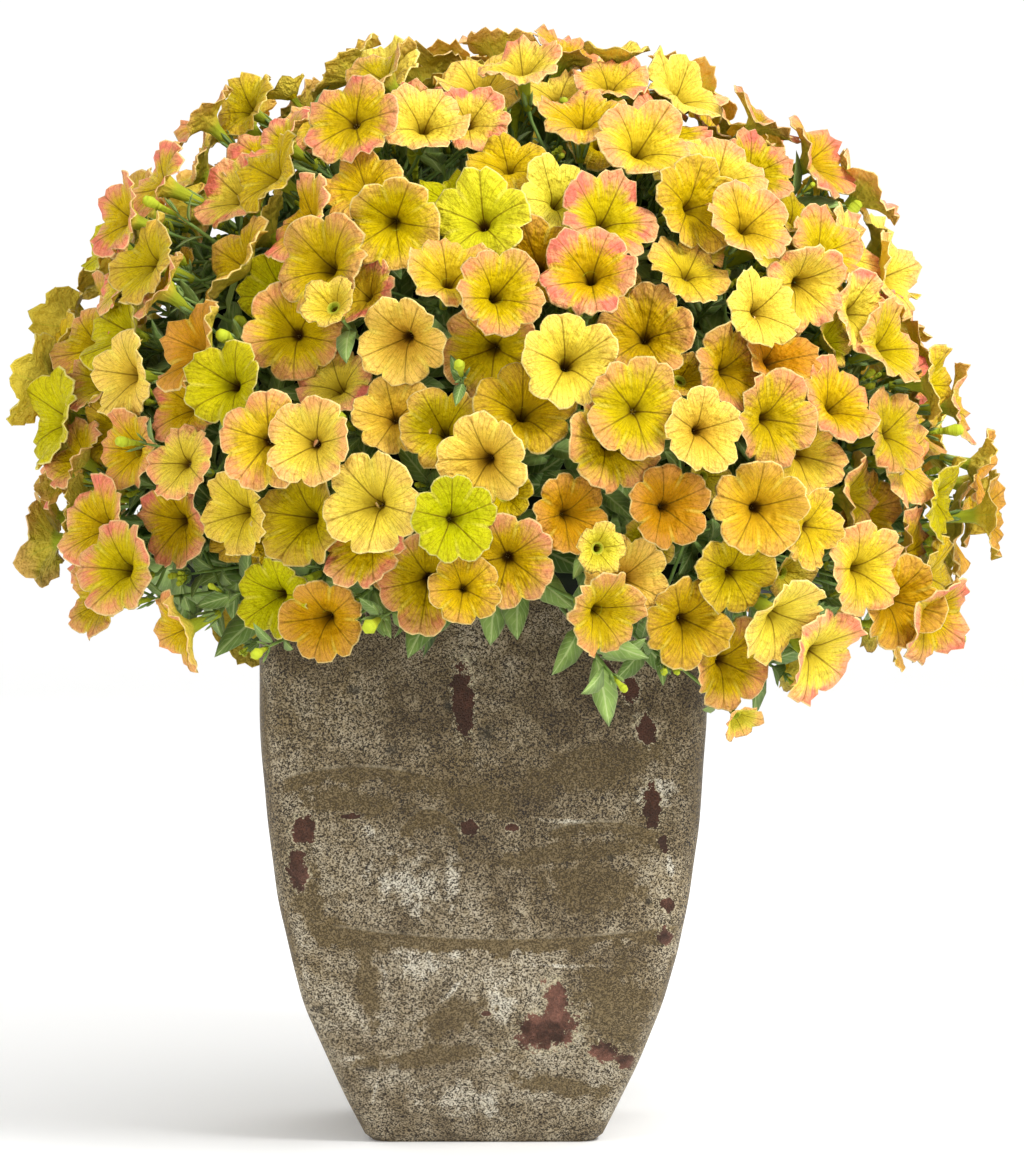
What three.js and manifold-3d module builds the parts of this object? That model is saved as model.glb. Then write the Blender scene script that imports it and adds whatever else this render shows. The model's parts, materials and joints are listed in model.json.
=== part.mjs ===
// A potted petunia: a mound of trumpet-shaped blooms over leafy stems, in a tall square ceramic pot.
// Millimetres, +Z up. The origin is the middle of the pot's foot, on the surface that it stands on,
// and -Y is the front.
import * as THREE from "three";
import { mergeVertices } from "three/addons/utils/BufferGeometryUtils.js";
import Module from "manifold-3d";

const wasm = await Module();
wasm.setup();

// Driving dimensions of the pot
const POT_HEIGHT = 360;
const POT_WIDTH = 280;
const POT_WALL = 13;
const POT_FLOOR = 16;
const POT_CORNER_RADIUS = 24;
const RIM_ROUNDING = 4;
const DRAIN_HOLE_RADIUS = 7;
const DRAIN_HOLE_OFFSET = 36;
// Heights at which the inside wall bends
const INSIDE_HEIGHTS = [POT_FLOOR, 50, 110, 211, 270];
// How wide the pot is at each height: [share of the height, share of the width]
const POT_PROFILE = [
  [0.0, 0.51],
  [0.012, 0.545],
  [0.07, 0.617],
  [0.14, 0.695],
  [0.255, 0.812],
  [0.345, 0.871],
  [0.433, 0.918],
  [0.586, 0.971],
  [0.75, 1.0],
  [0.989, 1.0],
];

// Driving dimensions of the soil and of the leafy stems' dense cores
const SOIL_TOP = 338;
const SOIL_MOUND = 5;
const SOIL_GAP = 0.4;
const STEM_RADIUS = 4.2;
const HOLE_CLEARANCE = 0.4;
const HOLE_DEPTH = 30;
const STEM_SPREAD = 92;
const STEM_CIRCLE = 116;
const CROWN = new THREE.Vector3(6, 0, 388);
const CROWN_HOLLOW = 108;
const CORE_RADIUS = 224;
const CORE_LUMPS = 5;
const CORE_UNDERSIDE = 350;
const RIM_CLEARANCE = 6;
const CORE_GAP = 1.2;
const LEAFY_STEMS = 12;

// Driving dimensions of the mound that the blooms form
const MOUND_CENTRE = new THREE.Vector3(14, 0, 398);
const MOUND_RADIUS = 302;
const MOUND_DEPTH_SHARE = 0.95;
const SKIRT_ANGLE = (105 * Math.PI) / 180;
// Where the skirt of the mound hangs lower, or is lifted: [turn from the front, how far round it
// reaches, drop], all in radians
const SKIRT_HANGS = [
  [-0.12, 0.34, -0.15],
  [0.55, 0.4, 0.1],
  [-0.5, 0.35, 0.07],
  [-1.5, 0.65, -0.2],
  [1.55, 0.55, -0.08],
  [2.3, 0.5, 0.08],
  [-2.7, 0.5, 0.1],
];
// Where the mound bulges out or is sunk in: [x, y, z of the direction, how far round it reaches, millimetres]
const MOUND_BULGES = [
  [-0.86, -0.1, 0.5, 0.5, 18],
  [-0.5, 0.1, 0.85, 0.35, 8],
  [0.58, 0.1, 0.8, 0.35, 10],
  [1.0, -0.1, 0.0, 0.3, 9],
  [0.1, -1.0, 0.1, 0.6, 6],
  [-0.3, 0.9, 0.4, 0.5, 8],
  [0.6, 0.8, 0.1, 0.45, -8],
];
const GOLDEN_TURN = Math.PI * (3 - Math.sqrt(5));

// Driving dimensions of a bloom, and how the blooms are placed
const BLOOM_COUNT = 323;
const BLOOM_RADIUS = 29.5;
const THROAT_DEPTH = 11;
// Levels of a bloom's dish: [depth below the rim, share of the radius]
const DISH_LEVELS = [[0, 1], [5, 0.68], [10, 0.34]];
const FUNNEL_DEPTH = 6;
const FUNNEL_RADIUS = 12;
const TUBE_RADIUS = 4.2;
const TUBE_TOP_DEPTH = 13.5;
const REACH_OF_A_BLOOM = 140;
// The blooms face outward more than the mound's surface under them does
const FACING_RISE = 0.6;
const LEAST_TILT = 0.08;
const OUTER_TILT = 0.62;
const INNER_TILT = 0.4;
const BLOOM_LEVEL_STEP = 11;
const BLOOM_LEVELS = 3;
const NUDGE = 0.07;
const BLOOM_SPRAYS = 36;
const SPRAY_ANGLE = (101 * Math.PI) / 180;
const SPRAY_KNOT_RADIUS = 240;
const STALK_RADIUS = 3;
const KNOT_RADIUS = 7;
const KNOT_ROOM = 20;
const STALK_SUNK = 24;
const LOWEST_STALK_RISE = -0.04;
const LEAST_TUBE_BEND = 0.4;
const BLOOM_SEED = 20260;

// Driving dimensions of the leaves and buds
const LEAF_LENGTH = 56;
const LEAF_WIDTH = 21;
const LEAF_THICKNESS = 1.0;
const LEAVES_PER_STEM = 5;
const BUD_LENGTH = 44;
const BUD_RADIUS = 3.6;
const BUDS_PER_STEM = 1;
const FOLIAGE_SEED = 417;
const CLEAR_OF_NEIGHBOURS = 0.6;
const CLEAR_OF_FOLIAGE = 3;

const UP = new THREE.Vector3(0, 0, 1);

// A seeded draw: a function that gives the next number from 0 to 1
function seededDraw(seed) {
  let state = seed >>> 0;
  return () => {
    state = (state + 0x6d2b79f5) >>> 0;
    let mixed = state;
    mixed = Math.imul(mixed ^ (mixed >>> 15), mixed | 1);
    mixed ^= mixed + Math.imul(mixed ^ (mixed >>> 7), mixed | 61);
    return ((mixed ^ (mixed >>> 14)) >>> 0) / 4294967296;
  };
}

// A solid from a closed three.js geometry
function solid(geometry) {
  const shape = geometry.clone();
  shape.deleteAttribute("normal");
  shape.deleteAttribute("uv");
  const merged = mergeVertices(shape, 1e-4);
  return new wasm.Manifold(
    new wasm.Mesh({
      numProp: 3,
      vertProperties: merged.attributes.position.array,
      triVerts: new Uint32Array(merged.index.array),
    }),
  );
}

// A three.js geometry from a solid
function geometryOf(body) {
  const mesh = body.getMesh();
  const positions = new Float32Array(mesh.numVert * 3);
  for (let i = 0; i < mesh.numVert; i++) {
    positions.set(mesh.vertProperties.subarray(i * mesh.numProp, i * mesh.numProp + 3), i * 3);
  }
  const geometry = new THREE.BufferGeometry();
  geometry.setAttribute("position", new THREE.BufferAttribute(positions, 3));
  geometry.setIndex(new THREE.BufferAttribute(mesh.triVerts, 1));
  geometry.computeVertexNormals();
  return geometry;
}

// A geometry from points and triangles
function facets(points, triangles) {
  const geometry = new THREE.BufferGeometry().setFromPoints(points);
  geometry.setIndex(triangles.flat());
  return geometry;
}

// A closed geometry through a stack of rings with the same number of points, the first and last ring filled
function loft(rings) {
  const count = rings[0].length;
  const triangles = [];
  for (let level = 0; level + 1 < rings.length; level++) {
    for (let i = 0; i < count; i++) {
      const a = level * count + i;
      const b = level * count + ((i + 1) % count);
      triangles.push([a, b, b + count], [a, b + count, a + count]);
    }
  }
  const last = (rings.length - 1) * count;
  for (let i = 1; i + 1 < count; i++) {
    triangles.push([0, i + 1, i], [last, last + i, last + i + 1]);
  }
  return facets(rings.flat(), triangles);
}

// A ring of a square with rounded corners, at one height
function roundedSquare(halfWidth, cornerRadius, height, steps) {
  const ring = [];
  const arms = [[1, 1], [-1, 1], [-1, -1], [1, -1]];
  arms.forEach(([x, y], corner) => {
    for (let step = 0; step <= steps; step++) {
      const angle = ((corner + step / steps) * Math.PI) / 2;
      ring.push(
        new THREE.Vector3(
          x * (halfWidth - cornerRadius) + cornerRadius * Math.cos(angle),
          y * (halfWidth - cornerRadius) + cornerRadius * Math.sin(angle),
          height,
        ),
      );
    }
  });
  return ring;
}

// The pot's half width at a height, straight between the profile's points
function potHalfWidth(height) {
  const share = height / POT_HEIGHT;
  const above = POT_PROFILE.findIndex(([level]) => level > share);
  const next = above < 0 ? POT_PROFILE.length - 1 : Math.max(1, above);
  const [lowLevel, lowWidth] = POT_PROFILE[next - 1];
  const [highLevel, highWidth] = POT_PROFILE[next];
  const width = lowWidth + ((highWidth - lowWidth) * (share - lowLevel)) / (highLevel - lowLevel);
  return (width * POT_WIDTH) / 2;
}

// The tall square pot, with a rounded lip and four drain holes
function pot() {
  const outside = POT_PROFILE.map(([level]) => {
    const cornerRadius = POT_CORNER_RADIUS * (0.55 + 0.45 * level);
    return roundedSquare(potHalfWidth(level * POT_HEIGHT), cornerRadius, level * POT_HEIGHT, 3);
  });
  const lip = roundedSquare(
    POT_WIDTH / 2 - RIM_ROUNDING,
    POT_CORNER_RADIUS - RIM_ROUNDING,
    POT_HEIGHT,
    3,
  );
  const innerRadius = POT_CORNER_RADIUS - POT_WALL + 2;
  const inside = [...INSIDE_HEIGHTS, POT_HEIGHT + 1].map((height) =>
    roundedSquare(potHalfWidth(height) - POT_WALL, innerRadius, height, 2),
  );
  let body = solid(loft([...outside, lip])).subtract(solid(loft(inside)));
  for (const [x, y] of [[1, 1], [-1, 1], [-1, -1], [1, -1]]) {
    const drain = new THREE.CylinderGeometry(DRAIN_HOLE_RADIUS, DRAIN_HOLE_RADIUS, POT_FLOOR * 3, 6);
    drain.rotateX(Math.PI / 2).translate(x * DRAIN_HOLE_OFFSET, y * DRAIN_HOLE_OFFSET, 0);
    body = body.subtract(solid(drain));
  }
  return body;
}

// The direction of point i of a lattice that covers the mound from its top down to an angle
function latticeDirection(i, count, lowestAngle) {
  const height = 1 - ((i + 0.5) / count) * (1 - Math.cos(lowestAngle));
  const turn = (i * GOLDEN_TURN) % (2 * Math.PI);
  const hang = SKIRT_HANGS.reduce((sum, [middle, reach, drop]) => {
    const apart = Math.atan2(Math.sin(turn - middle), Math.cos(turn - middle)) / reach;
    return sum + drop * Math.exp(-apart * apart);
  }, 0);
  const plain = Math.acos(height);
  const angle = plain + hang * (plain / SKIRT_ANGLE) ** 4;
  const across = Math.sin(angle);
  return new THREE.Vector3(across * Math.sin(turn), -across * Math.cos(turn), Math.cos(angle));
}

// How far the mound stands out beyond its plain rounded form in a direction
function bulge(direction) {
  return MOUND_BULGES.reduce((sum, [x, y, z, reach, height]) => {
    const apart = direction.angleTo(new THREE.Vector3(x, y, z)) / reach;
    return sum + height * Math.exp(-apart * apart);
  }, 0);
}

// A point of the mound's rounded form, at a distance from its centre
function moundPoint(direction, distance) {
  return new THREE.Vector3(direction.x, direction.y * MOUND_DEPTH_SHARE, direction.z)
    .multiplyScalar(distance + bulge(direction))
    .add(MOUND_CENTRE);
}

// Two directions across a given one
function acrossOf(direction) {
  const reference = Math.abs(direction.z) > 0.9 ? new THREE.Vector3(1, 0, 0) : UP;
  const side = new THREE.Vector3().crossVectors(reference, direction);
  side.normalize();
  return [side, new THREE.Vector3().crossVectors(direction, side)];
}

// Whether two flat discs cross
function discsCross(a, b) {
  const along = new THREE.Vector3().crossVectors(a.axis, b.axis);
  const apart = new THREE.Vector3().subVectors(b.centre, a.centre);
  const sine = along.length();
  if (apart.length() > a.radius + b.radius) return false;
  if (sine < 0.03) return Math.abs(apart.dot(a.axis)) < 3;
  along.divideScalar(sine);
  const fromA = Math.abs(apart.dot(b.axis)) / sine;
  const fromB = Math.abs(apart.dot(a.axis)) / sine;
  if (fromA >= a.radius || fromB >= b.radius) return false;
  const halfA = Math.sqrt(a.radius * a.radius - fromA * fromA);
  const halfB = Math.sqrt(b.radius * b.radius - fromB * fromB);
  return Math.abs(apart.dot(along)) < halfA + halfB;
}

// The flat discs that stand for a bloom's dished form: its rim, and two levels of its funnel
function discsOf(bloom) {
  return DISH_LEVELS.map(([depth, share]) => ({
    centre: bloom.centre.clone().addScaledVector(bloom.axis, -depth),
    axis: bloom.axis,
    radius: bloom.radius * share + 1,
  }));
}

// Whether the dished forms of two blooms cross
function bloomsCross(a, b) {
  return discsOf(a).some((one) => discsOf(b).some((other) => discsCross(one, other)));
}

// Whether the tube and stalk below bloom a pass through bloom b's disc
function tubeCrosses(a, b) {
  const start = a.centre.clone().addScaledVector(a.axis, -THROAT_DEPTH);
  const from = start.clone().sub(b.centre).dot(b.axis);
  const to = a.knot.clone().sub(b.centre).dot(b.axis);
  if (from * to > 0) return false;
  const crossing = start.lerp(a.knot, from / (from - to));
  return crossing.distanceTo(b.centre) < b.radius + TUBE_RADIUS;
}

// The distance between two straight stretches, each given by its ends
function stretchGap(fromA, toA, fromB, toB) {
  const alongA = toA.clone().sub(fromA);
  const alongB = toB.clone().sub(fromB);
  const apart = fromA.clone().sub(fromB);
  const lengthA = alongA.lengthSq();
  const lengthB = alongB.lengthSq();
  const shared = alongA.dot(alongB);
  const endB = alongB.dot(apart);
  const square = lengthA * lengthB - shared * shared;
  const clamp = THREE.MathUtils.clamp;
  const shareA = square > 1e-6 ? clamp((shared * endB - alongA.dot(apart) * lengthB) / square, 0, 1) : 0;
  const shareB = clamp((shared * shareA + endB) / lengthB, 0, 1);
  const nearA = clamp((shared * shareB - alongA.dot(apart)) / lengthA, 0, 1);
  return apart.addScaledVector(alongA, nearA).addScaledVector(alongB, -shareB).length();
}

// Whether the tubes of two blooms touch away from a knot that they share
function tubesTouch(a, b) {
  const share = a.spray === b.spray ? 0.55 : 1;
  const footA = a.centre.clone().lerp(a.knot, share);
  const footB = b.centre.clone().lerp(b.knot, share);
  return stretchGap(a.centre, footA, b.centre, footB) < TUBE_RADIUS * 2.2;
}

// Whether the tube below bloom a runs through bloom b's funnel
function tubeInFunnel(a, b) {
  const funnel = b.centre.clone().addScaledVector(b.axis, -FUNNEL_DEPTH);
  const top = a.centre.clone().addScaledVector(a.axis, -TUBE_TOP_DEPTH);
  const foot = top.clone().lerp(a.knot, 0.85);
  const mouth = funnel.clone().addScaledVector(b.axis, 1);
  return stretchGap(top, foot, funnel, mouth) < FUNNEL_RADIUS + TUBE_RADIUS;
}

// How far out in the mound a point is
function levelOf(point) {
  const out = point.clone().sub(MOUND_CENTRE);
  out.y /= MOUND_DEPTH_SHARE;
  return out.length() - bulge(out.clone().normalize());
}

// Whether a bloom's rim or tube dips into the foliage
function dipsIntoFoliage(bloom) {
  const [side, rise] = acrossOf(bloom.axis);
  for (let i = 0; i < 10; i++) {
    const point = bloom.centre.clone().addScaledVector(side, bloom.radius * Math.cos((i * Math.PI) / 5));
    point.addScaledVector(rise, bloom.radius * Math.sin((i * Math.PI) / 5));
    if (levelOf(point) < CORE_RADIUS + CORE_LUMPS + CLEAR_OF_FOLIAGE) return true;
  }
  const top = bloom.centre.clone().addScaledVector(bloom.axis, -TUBE_TOP_DEPTH);
  return [0.25, 0.5, 0.75].some(
    (share) => levelOf(top.clone().lerp(bloom.knot, share)) < CORE_RADIUS + CORE_LUMPS + CLEAR_OF_FOLIAGE,
  );
}

// Whether a bloom's tube would have to turn back through its own petals to reach its knot
function tubeTooBent(bloom) {
  const back = bloom.centre.clone().addScaledVector(bloom.axis, -TUBE_TOP_DEPTH);
  return back.sub(bloom.knot).normalize().dot(bloom.axis) < LEAST_TUBE_BEND;
}

// How many of the placed blooms a new one would run into
function crossingsOf(bloom, blooms) {
  return blooms.filter(
    (other) =>
      other.centre.distanceTo(bloom.centre) < REACH_OF_A_BLOOM &&
      (bloomsCross(bloom, other) ||
        tubeCrosses(bloom, other) ||
        tubeCrosses(other, bloom) ||
        tubeInFunnel(bloom, other) ||
        tubeInFunnel(other, bloom) ||
        tubesTouch(bloom, other)),
  ).length;
}

// The knots that a bloom could grow from, the nearest first
function nearestKnots(knots, centre) {
  const order = knots.map((knot, k) => [knot.point.distanceTo(centre), k]);
  order.sort((a, b) => a[0] - b[0]);
  return order.slice(0, 4).map(([, k]) => k);
}

// Every bloom: its centre, axis, radius, spin and the knot of the spray that its tube grows from
function growBlooms() {
  const draw = seededDraw(BLOOM_SEED);
  const knots = [];
  for (let i = 0; i < BLOOM_SPRAYS; i++) {
    const direction = latticeDirection(i, BLOOM_SPRAYS, SPRAY_ANGLE);
    const raised = direction.clone();
    raised.z = Math.max(raised.z, LOWEST_STALK_RISE);
    const root = moundPoint(raised.normalize(), CORE_RADIUS - STALK_SUNK);
    knots.push({ root, point: moundPoint(direction, SPRAY_KNOT_RADIUS) });
  }
  const blooms = [];
  for (let i = 0; i < BLOOM_COUNT; i++) {
    const nudge = [draw() - 0.5, draw() - 0.5];
    const deep = i % BLOOM_LEVELS > 0;
    const tilt = [LEAST_TILT + (deep ? INNER_TILT : OUTER_TILT) * draw(), 2 * Math.PI * draw()];
    const depthDraw = draw() - 0.5;
    const radius = BLOOM_RADIUS * (0.86 + 0.24 * draw());
    const spin = 2 * Math.PI * draw();
    const outward = latticeDirection(i, BLOOM_COUNT, SKIRT_ANGLE);
    const [across, along] = acrossOf(outward);
    outward.addScaledVector(across, nudge[0] * NUDGE).addScaledVector(along, nudge[1] * NUDGE).normalize();
    const level = (i % BLOOM_LEVELS) * BLOOM_LEVEL_STEP + depthDraw * BLOOM_LEVEL_STEP * 0.5;
    const base = moundPoint(outward, MOUND_RADIUS - level);
    const facing = new THREE.Vector3(outward.x, outward.y, outward.z * FACING_RISE).normalize();
    let best = null;
    for (const lift of [0, -8, 8, -15, 15, 22]) {
      for (const lean of [1, 0.5, 0, -0.5, -1]) {
        const [side, rise] = acrossOf(facing);
        const axis = facing.clone();
        axis.addScaledVector(side, Math.sin(tilt[1]) * tilt[0] * lean);
        axis.addScaledVector(rise, Math.cos(tilt[1]) * tilt[0] * lean).normalize();
        const centre = base.clone().addScaledVector(outward, lift);
        for (const spray of nearestKnots(knots, centre)) {
          const bloom = { centre, axis, radius, spin, deep, spray, knot: knots[spray].point };
          const strain = tubeTooBent(bloom) || dipsIntoFoliage(bloom) ? 5 : 0;
          const crossings = crossingsOf(bloom, blooms) + strain;
          if (best === null || crossings < best.crossings) best = { bloom, crossings };
          if (crossings === 0) break;
        }
        if (best.crossings === 0) break;
      }
      if (best.crossings === 0) break;
    }
    blooms.push(best.bloom);
  }
  return { blooms, knots };
}

// The rim of one of a bloom's five lobes, as [share of the radius, angle from the lobe's middle, height]
const BROAD_LOBE = [[1, -0.35, 1.6], [0.98, 0.35, -1.2], [0.8, 0.628, -1.8]];
// A bloom that lies deep, under its neighbours, has plainer lobes
const PLAIN_LOBE = [[1, 0, 1], [0.77, 0.628, -1.5]];

// One bloom with five lobes, dished to its throat, on a tube that narrows to the spray's knot
function bloomSolid(bloom) {
  const { radius, spin } = bloom;
  const lobe = bloom.deep ? PLAIN_LOBE : BROAD_LOBE;
  const [side, rise] = acrossOf(bloom.axis);
  const place = (reach, angle, height) =>
    bloom.centre
      .clone()
      .addScaledVector(side, reach * Math.cos(angle))
      .addScaledVector(rise, reach * Math.sin(angle))
      .addScaledVector(bloom.axis, height);
  const points = [];
  for (let k = 0; k < 5; k++) {
    lobe.forEach(([share, turn, height]) => {
      points.push(place(radius * share, spin + (k * 2 * Math.PI) / 5 + turn, height));
    });
  }
  const rim = points.length;
  points.push(place(0, 0, (-THROAT_DEPTH * radius) / BLOOM_RADIUS));
  for (let i = 0; i < 3; i++) {
    points.push(place(TUBE_RADIUS, spin + (i * 2 * Math.PI) / 3 + 0.6, -TUBE_TOP_DEPTH));
  }
  const tubeTop = place(0, 0, -TUBE_TOP_DEPTH);
  points.push(bloom.knot.clone().add(bloom.knot.clone().sub(tubeTop).setLength(KNOT_RADIUS * 0.4)));
  const triangles = [];
  for (let i = 0; i < rim; i++) {
    const next = (i + 1) % rim;
    const tube = Math.floor((i * 3) / rim);
    const nextTube = Math.floor(((i + 1) * 3) / rim);
    triangles.push([i, next, rim], [next, i, rim + 1 + tube]);
    if (nextTube !== tube) triangles.push([next, rim + 1 + tube, rim + 1 + (nextTube % 3)]);
  }
  for (let i = 0; i < 3; i++) {
    triangles.push([rim + 1 + i, rim + 4, rim + 1 + ((i + 1) % 3)]);
  }
  return solid(facets(points, triangles));
}

// A tapered stick between two points
function stick(from, to, fromRadius, toRadius, sides) {
  const length = from.distanceTo(to);
  const geometry = new THREE.CylinderGeometry(toRadius, fromRadius, length, sides);
  const turn = new THREE.Quaternion().setFromUnitVectors(
    new THREE.Vector3(0, 1, 0),
    to.clone().sub(from).normalize(),
  );
  geometry.applyQuaternion(turn);
  const middle = from.clone().lerp(to, 0.5);
  return solid(geometry.translate(middle.x, middle.y, middle.z));
}

// The stalk of a spray, widening from inside the leafy core to the knot that its blooms grow from
function stalkSolid(knot, extra) {
  const along = knot.point.clone().sub(knot.root).normalize();
  const root = knot.root.clone().addScaledVector(along, -extra);
  const [side, rise] = acrossOf(along);
  const ring = (centre, radius) => [
    centre.clone().addScaledVector(side, radius),
    centre.clone().addScaledVector(rise, radius),
    centre.clone().addScaledVector(side, -radius),
    centre.clone().addScaledVector(rise, -radius),
  ];
  const points = [...ring(root, STALK_RADIUS + extra), ...ring(knot.point, KNOT_RADIUS + extra)];
  points.push(knot.point.clone().addScaledVector(along, KNOT_RADIUS));
  const triangles = [[0, 2, 1], [0, 3, 2]];
  for (let i = 0; i < 4; i++) {
    const next = (i + 1) % 4;
    triangles.push([i, next, next + 4], [i, next + 4, i + 4], [i + 4, next + 4, 8]);
  }
  return solid(facets(points, triangles));
}

// A bloom leaned aside, and pushed along its own axis, with its size changed
function bent(bloom, way) {
  const [side, rise] = acrossOf(bloom.axis);
  const axis = bloom.axis.clone();
  axis.addScaledVector(side, way.lean * Math.cos(way.turn));
  axis.addScaledVector(rise, way.lean * Math.sin(way.turn)).normalize();
  const centre = bloom.centre.clone().addScaledVector(bloom.axis, way.lift);
  return { ...bloom, axis, centre, radius: bloom.radius * way.share };
}

// Ways to bend a bloom clear of its neighbours, the gentlest first
function waysClear() {
  const ways = [{ share: 1, lean: 0, turn: 0, lift: 0 }];
  for (const share of [0.94, 0.88, 0.82, 0.76, 0.7, 0.6, 0.52]) {
    for (const lift of share > 0.8 ? [0] : [0, -10, 12, 24, 34]) {
      ways.push({ share, lean: 0, turn: 0, lift });
      for (const lean of [0.22, 0.5]) {
        for (let turn = 0; turn < 6; turn++) ways.push({ share, lean, turn: (turn * Math.PI) / 3, lift });
      }
    }
  }
  return ways;
}

// Bloom sprays: each is one body of blooms on one stalk, with its blooms kept clear of every other bloom
function growSprays() {
  const { blooms, knots } = growBlooms();
  const knotRooms = knots.map((knot) =>
    solid(new THREE.OctahedronGeometry(KNOT_ROOM, 0).translate(knot.point.x, knot.point.y, knot.point.z)),
  );
  const placed = [];
  for (const bloom of blooms) {
    const near = placed.filter((other) => other.centre.distanceTo(bloom.centre) < REACH_OF_A_BLOOM);
    let best = null;
    for (const way of waysClear()) {
      const turned = bent(bloom, way);
      const body = bloomSolid(turned);
      const free = body.subtract(knotRooms[bloom.spray]);
      const strain = tubeTooBent(turned) || dipsIntoFoliage(turned) ? 100 : 0;
      const touches = near.filter((other) =>
        other.spray === bloom.spray
          ? !other.free.intersect(free).isEmpty()
          : other.body.minGap(body, CLEAR_OF_NEIGHBOURS * 2) < CLEAR_OF_NEIGHBOURS,
      );
      const cost = touches.reduce((sum, other) => sum + (other.spray === bloom.spray ? 1 : 100), strain);
      if (best === null || cost < best.cost) {
        best = { cost, body, free, centre: bloom.centre, spray: bloom.spray };
      }
      if (cost === 0) break;
    }
    placed.push(best);
  }
  const sprays = knots.map((knot, k) => {
    const members = placed.filter((one) => one.spray === k).map((one) => one.body);
    return wasm.Manifold.union([stalkSolid(knot, 0), ...members]);
  });
  return { sprays, knots };
}

// A leaf with a folded midrib: an oval blade with a point, drawn from its base along a direction
function leafSolid(base, along, face, size) {
  const width = new THREE.Vector3().crossVectors(along, face).normalize();
  const out = new THREE.Vector3().crossVectors(width, along).normalize();
  const place = (reach, side, height) =>
    base
      .clone()
      .addScaledVector(along, reach * LEAF_LENGTH * size)
      .addScaledVector(width, (side * LEAF_WIDTH * size) / 2)
      .addScaledVector(out, height);
  const points = [
    place(0, 0, 0),
    place(0.34, -0.95, 2.2),
    place(0.68, -0.8, 0.6),
    place(1, 0, -5),
    place(0.68, 0.8, 0.6),
    place(0.34, 0.95, 2.2),
    place(0.45, 0, 0),
    place(0.45, 0, -LEAF_THICKNESS * 1.6),
  ];
  const triangles = [];
  for (let i = 0; i < 6; i++) {
    const next = (i + 1) % 6;
    triangles.push([next, i, 6], [i, next, 7]);
  }
  return solid(facets(points, triangles));
}

// A slim pointed bud
function budSolid(base, along, size) {
  const [side, rise] = acrossOf(along);
  const place = (reach, radius, angle) =>
    base
      .clone()
      .addScaledVector(along, reach * BUD_LENGTH * size)
      .addScaledVector(side, radius * Math.cos(angle))
      .addScaledVector(rise, radius * Math.sin(angle));
  const points = [place(0, 0, 0), place(1, 0, 0)];
  for (let i = 0; i < 4; i++) points.push(place(0.72, BUD_RADIUS * size, (i * Math.PI) / 2));
  const triangles = [];
  for (let i = 0; i < 4; i++) {
    const a = 2 + i;
    const b = 2 + ((i + 1) % 4);
    triangles.push([0, b, a], [1, a, b]);
  }
  return solid(facets(points, triangles));
}

// The lumpy form of the foliage under the blooms
function coreForm(draw) {
  const facetted = new THREE.IcosahedronGeometry(1, 2);
  facetted.deleteAttribute("normal");
  facetted.deleteAttribute("uv");
  const ball = mergeVertices(facetted, 1e-4);
  const position = ball.attributes.position;
  for (let i = 0; i < position.count; i++) {
    const direction = new THREE.Vector3().fromBufferAttribute(position, i).normalize();
    const point = moundPoint(direction, CORE_RADIUS + (draw() * 2 - 1) * CORE_LUMPS);
    position.setXYZ(i, point.x, point.y, point.z);
  }
  return solid(ball);
}

// Where a leafy stem leaves the soil
function stemFoot(direction) {
  const angle = Math.acos(direction.z);
  const out = (angle / SPRAY_ANGLE) * STEM_SPREAD;
  const flat = new THREE.Vector2(direction.x, direction.y).normalize();
  return new THREE.Vector3(flat.x * out, flat.y * out, SOIL_TOP - HOLE_DEPTH);
}

// The bare lower part of a leafy stem, from its foot in the soil to the heart of its foliage
function stemRod(stem, extra) {
  return stick(stem.root, stem.heart, STEM_RADIUS + extra, STEM_RADIUS * 0.8 + extra, 5);
}

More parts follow.
